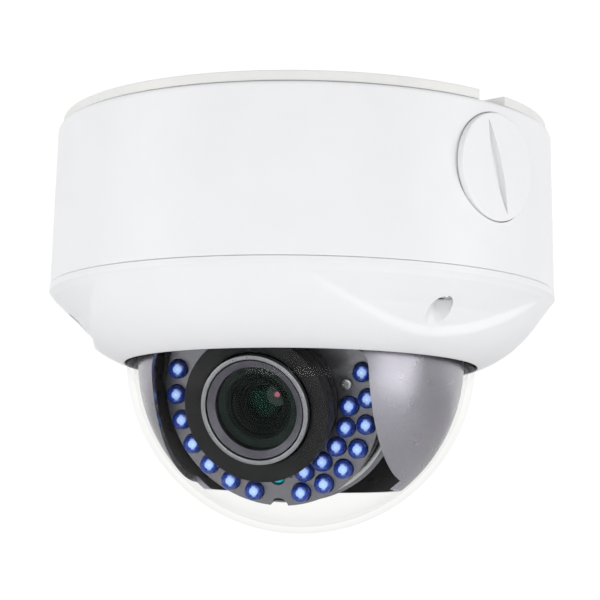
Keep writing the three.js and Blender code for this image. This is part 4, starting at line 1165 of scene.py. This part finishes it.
def boards():
    """Main board with its connectors, hung under the housing's floor."""
    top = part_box("main_board")[1].z / MM
    board = prism("main_circuit", circle(0, 0, 46, FINE), top - 1.6, top, None, 0.1)
    finished(board, ["main_board"], "base", "circuit_board")
    low = top - 1.9
    block = prism("terminal_block", rectangle(26, 9, 0, 24), low - 9, low, None, 0.3)
    mouths = [prism("mouth", rectangle(4, 5, x, 29), low - 6.5, low - 1.5) for x in (-9, -3, 3, 9)]
    combine(block, mouths)
    finished(block, ["board_terminal"], "base", "terminal")
    chips = ((0, -8, 12, 12, 1.6), (-20, -14, 8, 8, 1.4), (18, 6, 7, 9, 2.2), (-18, 12, 5, 5, 4.5),
             (24, -14, 9, 4, 3))
    for i, (x, y, wide, deep, tall) in enumerate(chips):
        outline = rectangle(wide, deep, x, y)
        chip = prism(f"board_chip_{i + 1}", outline, top - 1.6 - tall, top - 1.55, None, 0.2)
        finished(chip, [], "base", "black_plastic")


# ---- stage, lights and camera ----
WORLD_FRONT = 0.45


def stage():
    material = bpy.data.materials.new("pale_floor")
    material.use_nodes = True
    material.node_tree.nodes["Principled BSDF"].inputs["Base Color"].default_value = (0.9, 0.9, 0.9, 1.0)
    material.node_tree.nodes["Principled BSDF"].inputs["Roughness"].default_value = 0.9
    shape = bmesh.new()
    bmesh.ops.create_grid(shape, x_segments=1, y_segments=1, size=4.0)
    mesh = bpy.data.meshes.new("floor")
    shape.to_mesh(mesh)
    shape.free()
    floor = bpy.data.objects.new("floor", mesh)
    floor.location = (0, 0, -0.42)
    mesh.materials.append(material)
    bpy.context.scene.collection.objects.link(floor)


def world():
    """White behind the object and greyer in front of it, where only the softboxes are bright."""
    background = bpy.data.worlds.new("studio")
    background.use_nodes = True
    tree = background.node_tree
    place = tree.nodes.new("ShaderNodeTexCoord")
    parts = tree.nodes.new("ShaderNodeSeparateXYZ")
    span = tree.nodes.new("ShaderNodeMapRange")
    span.interpolation_type = "SMOOTHSTEP"
    set_range(span, -0.1, 0.75, WORLD_FRONT, 1.02)
    wire(tree, (place.outputs["Generated"], parts.inputs[0]), (parts.outputs["Y"], span.inputs["Value"]),
         (span.outputs["Result"], tree.nodes["Background"].inputs["Strength"]))
    tree.nodes["Background"].inputs["Color"].default_value = (1.0, 1.0, 1.0, 1.0)
    bpy.context.scene.world = background


def softbox(name, place, target, wide, tall, power, colour=(1.0, 1.0, 1.0)):
    lamp = bpy.data.lights.new(name, "AREA")
    lamp.shape = "RECTANGLE"
    lamp.size = wide
    lamp.size_y = tall
    lamp.energy = power
    lamp.color = colour
    holder = bpy.data.objects.new(name, lamp)
    holder.location = place
    holder.rotation_euler = (Vector(target) - Vector(place)).to_track_quat("-Z", "Y").to_euler()
    bpy.context.scene.collection.objects.link(holder)


def lights():
    middle = (0, 0, -0.06)
    softbox("front", (-0.15, -1.4, 0.15), middle, 1.6, 1.0, 3.2)
    softbox("low", (0, -1.1, -0.34), middle, 1.6, 0.12, 2.2)
    softbox("left", (-0.9, -0.35, 0.0), middle, 0.6, 0.8, 2.3)
    softbox("right", (0.9, -0.35, 0.0), middle, 0.6, 0.8, 2.6)


def camera():
    """Level with the dome and looking slightly up at it."""
    place = Vector((0, -0.53506, -0.12044))
    pitch, yaw, roll = 0.134, -0.001, 0.016
    ahead = Vector((math.sin(yaw) * math.cos(pitch), math.cos(yaw) * math.cos(pitch), math.sin(pitch)))
    side = Vector((math.cos(yaw), -math.sin(yaw), 0))
    up = side.cross(ahead)
    right = side * math.cos(roll) + up * math.sin(roll)
    top = up * math.cos(roll) - side * math.sin(roll)
    lens_data = bpy.data.cameras.new("camera")
    lens_data.lens = 116.68
    lens_data.sensor_width = 36
    lens_data.clip_start = 0.01
    view = bpy.data.objects.new("camera", lens_data)
    view.matrix_world = basis(right, top, -ahead, place)
    bpy.context.scene.collection.objects.link(view)
    bpy.context.scene.camera = view


mounting_plate()
base_housing()
conduit_plug()
small_base_pieces()
front_cover()
clear_dome()
cover_screws()
gimbal_base()
pan_pieces()
tilt_pieces()
module_body()
face_plate()
lamps()
lens()
setting_rings()
boards()
stage()
world()
lights()
camera()
bpy.context.scene.view_settings.view_transform = "Standard"
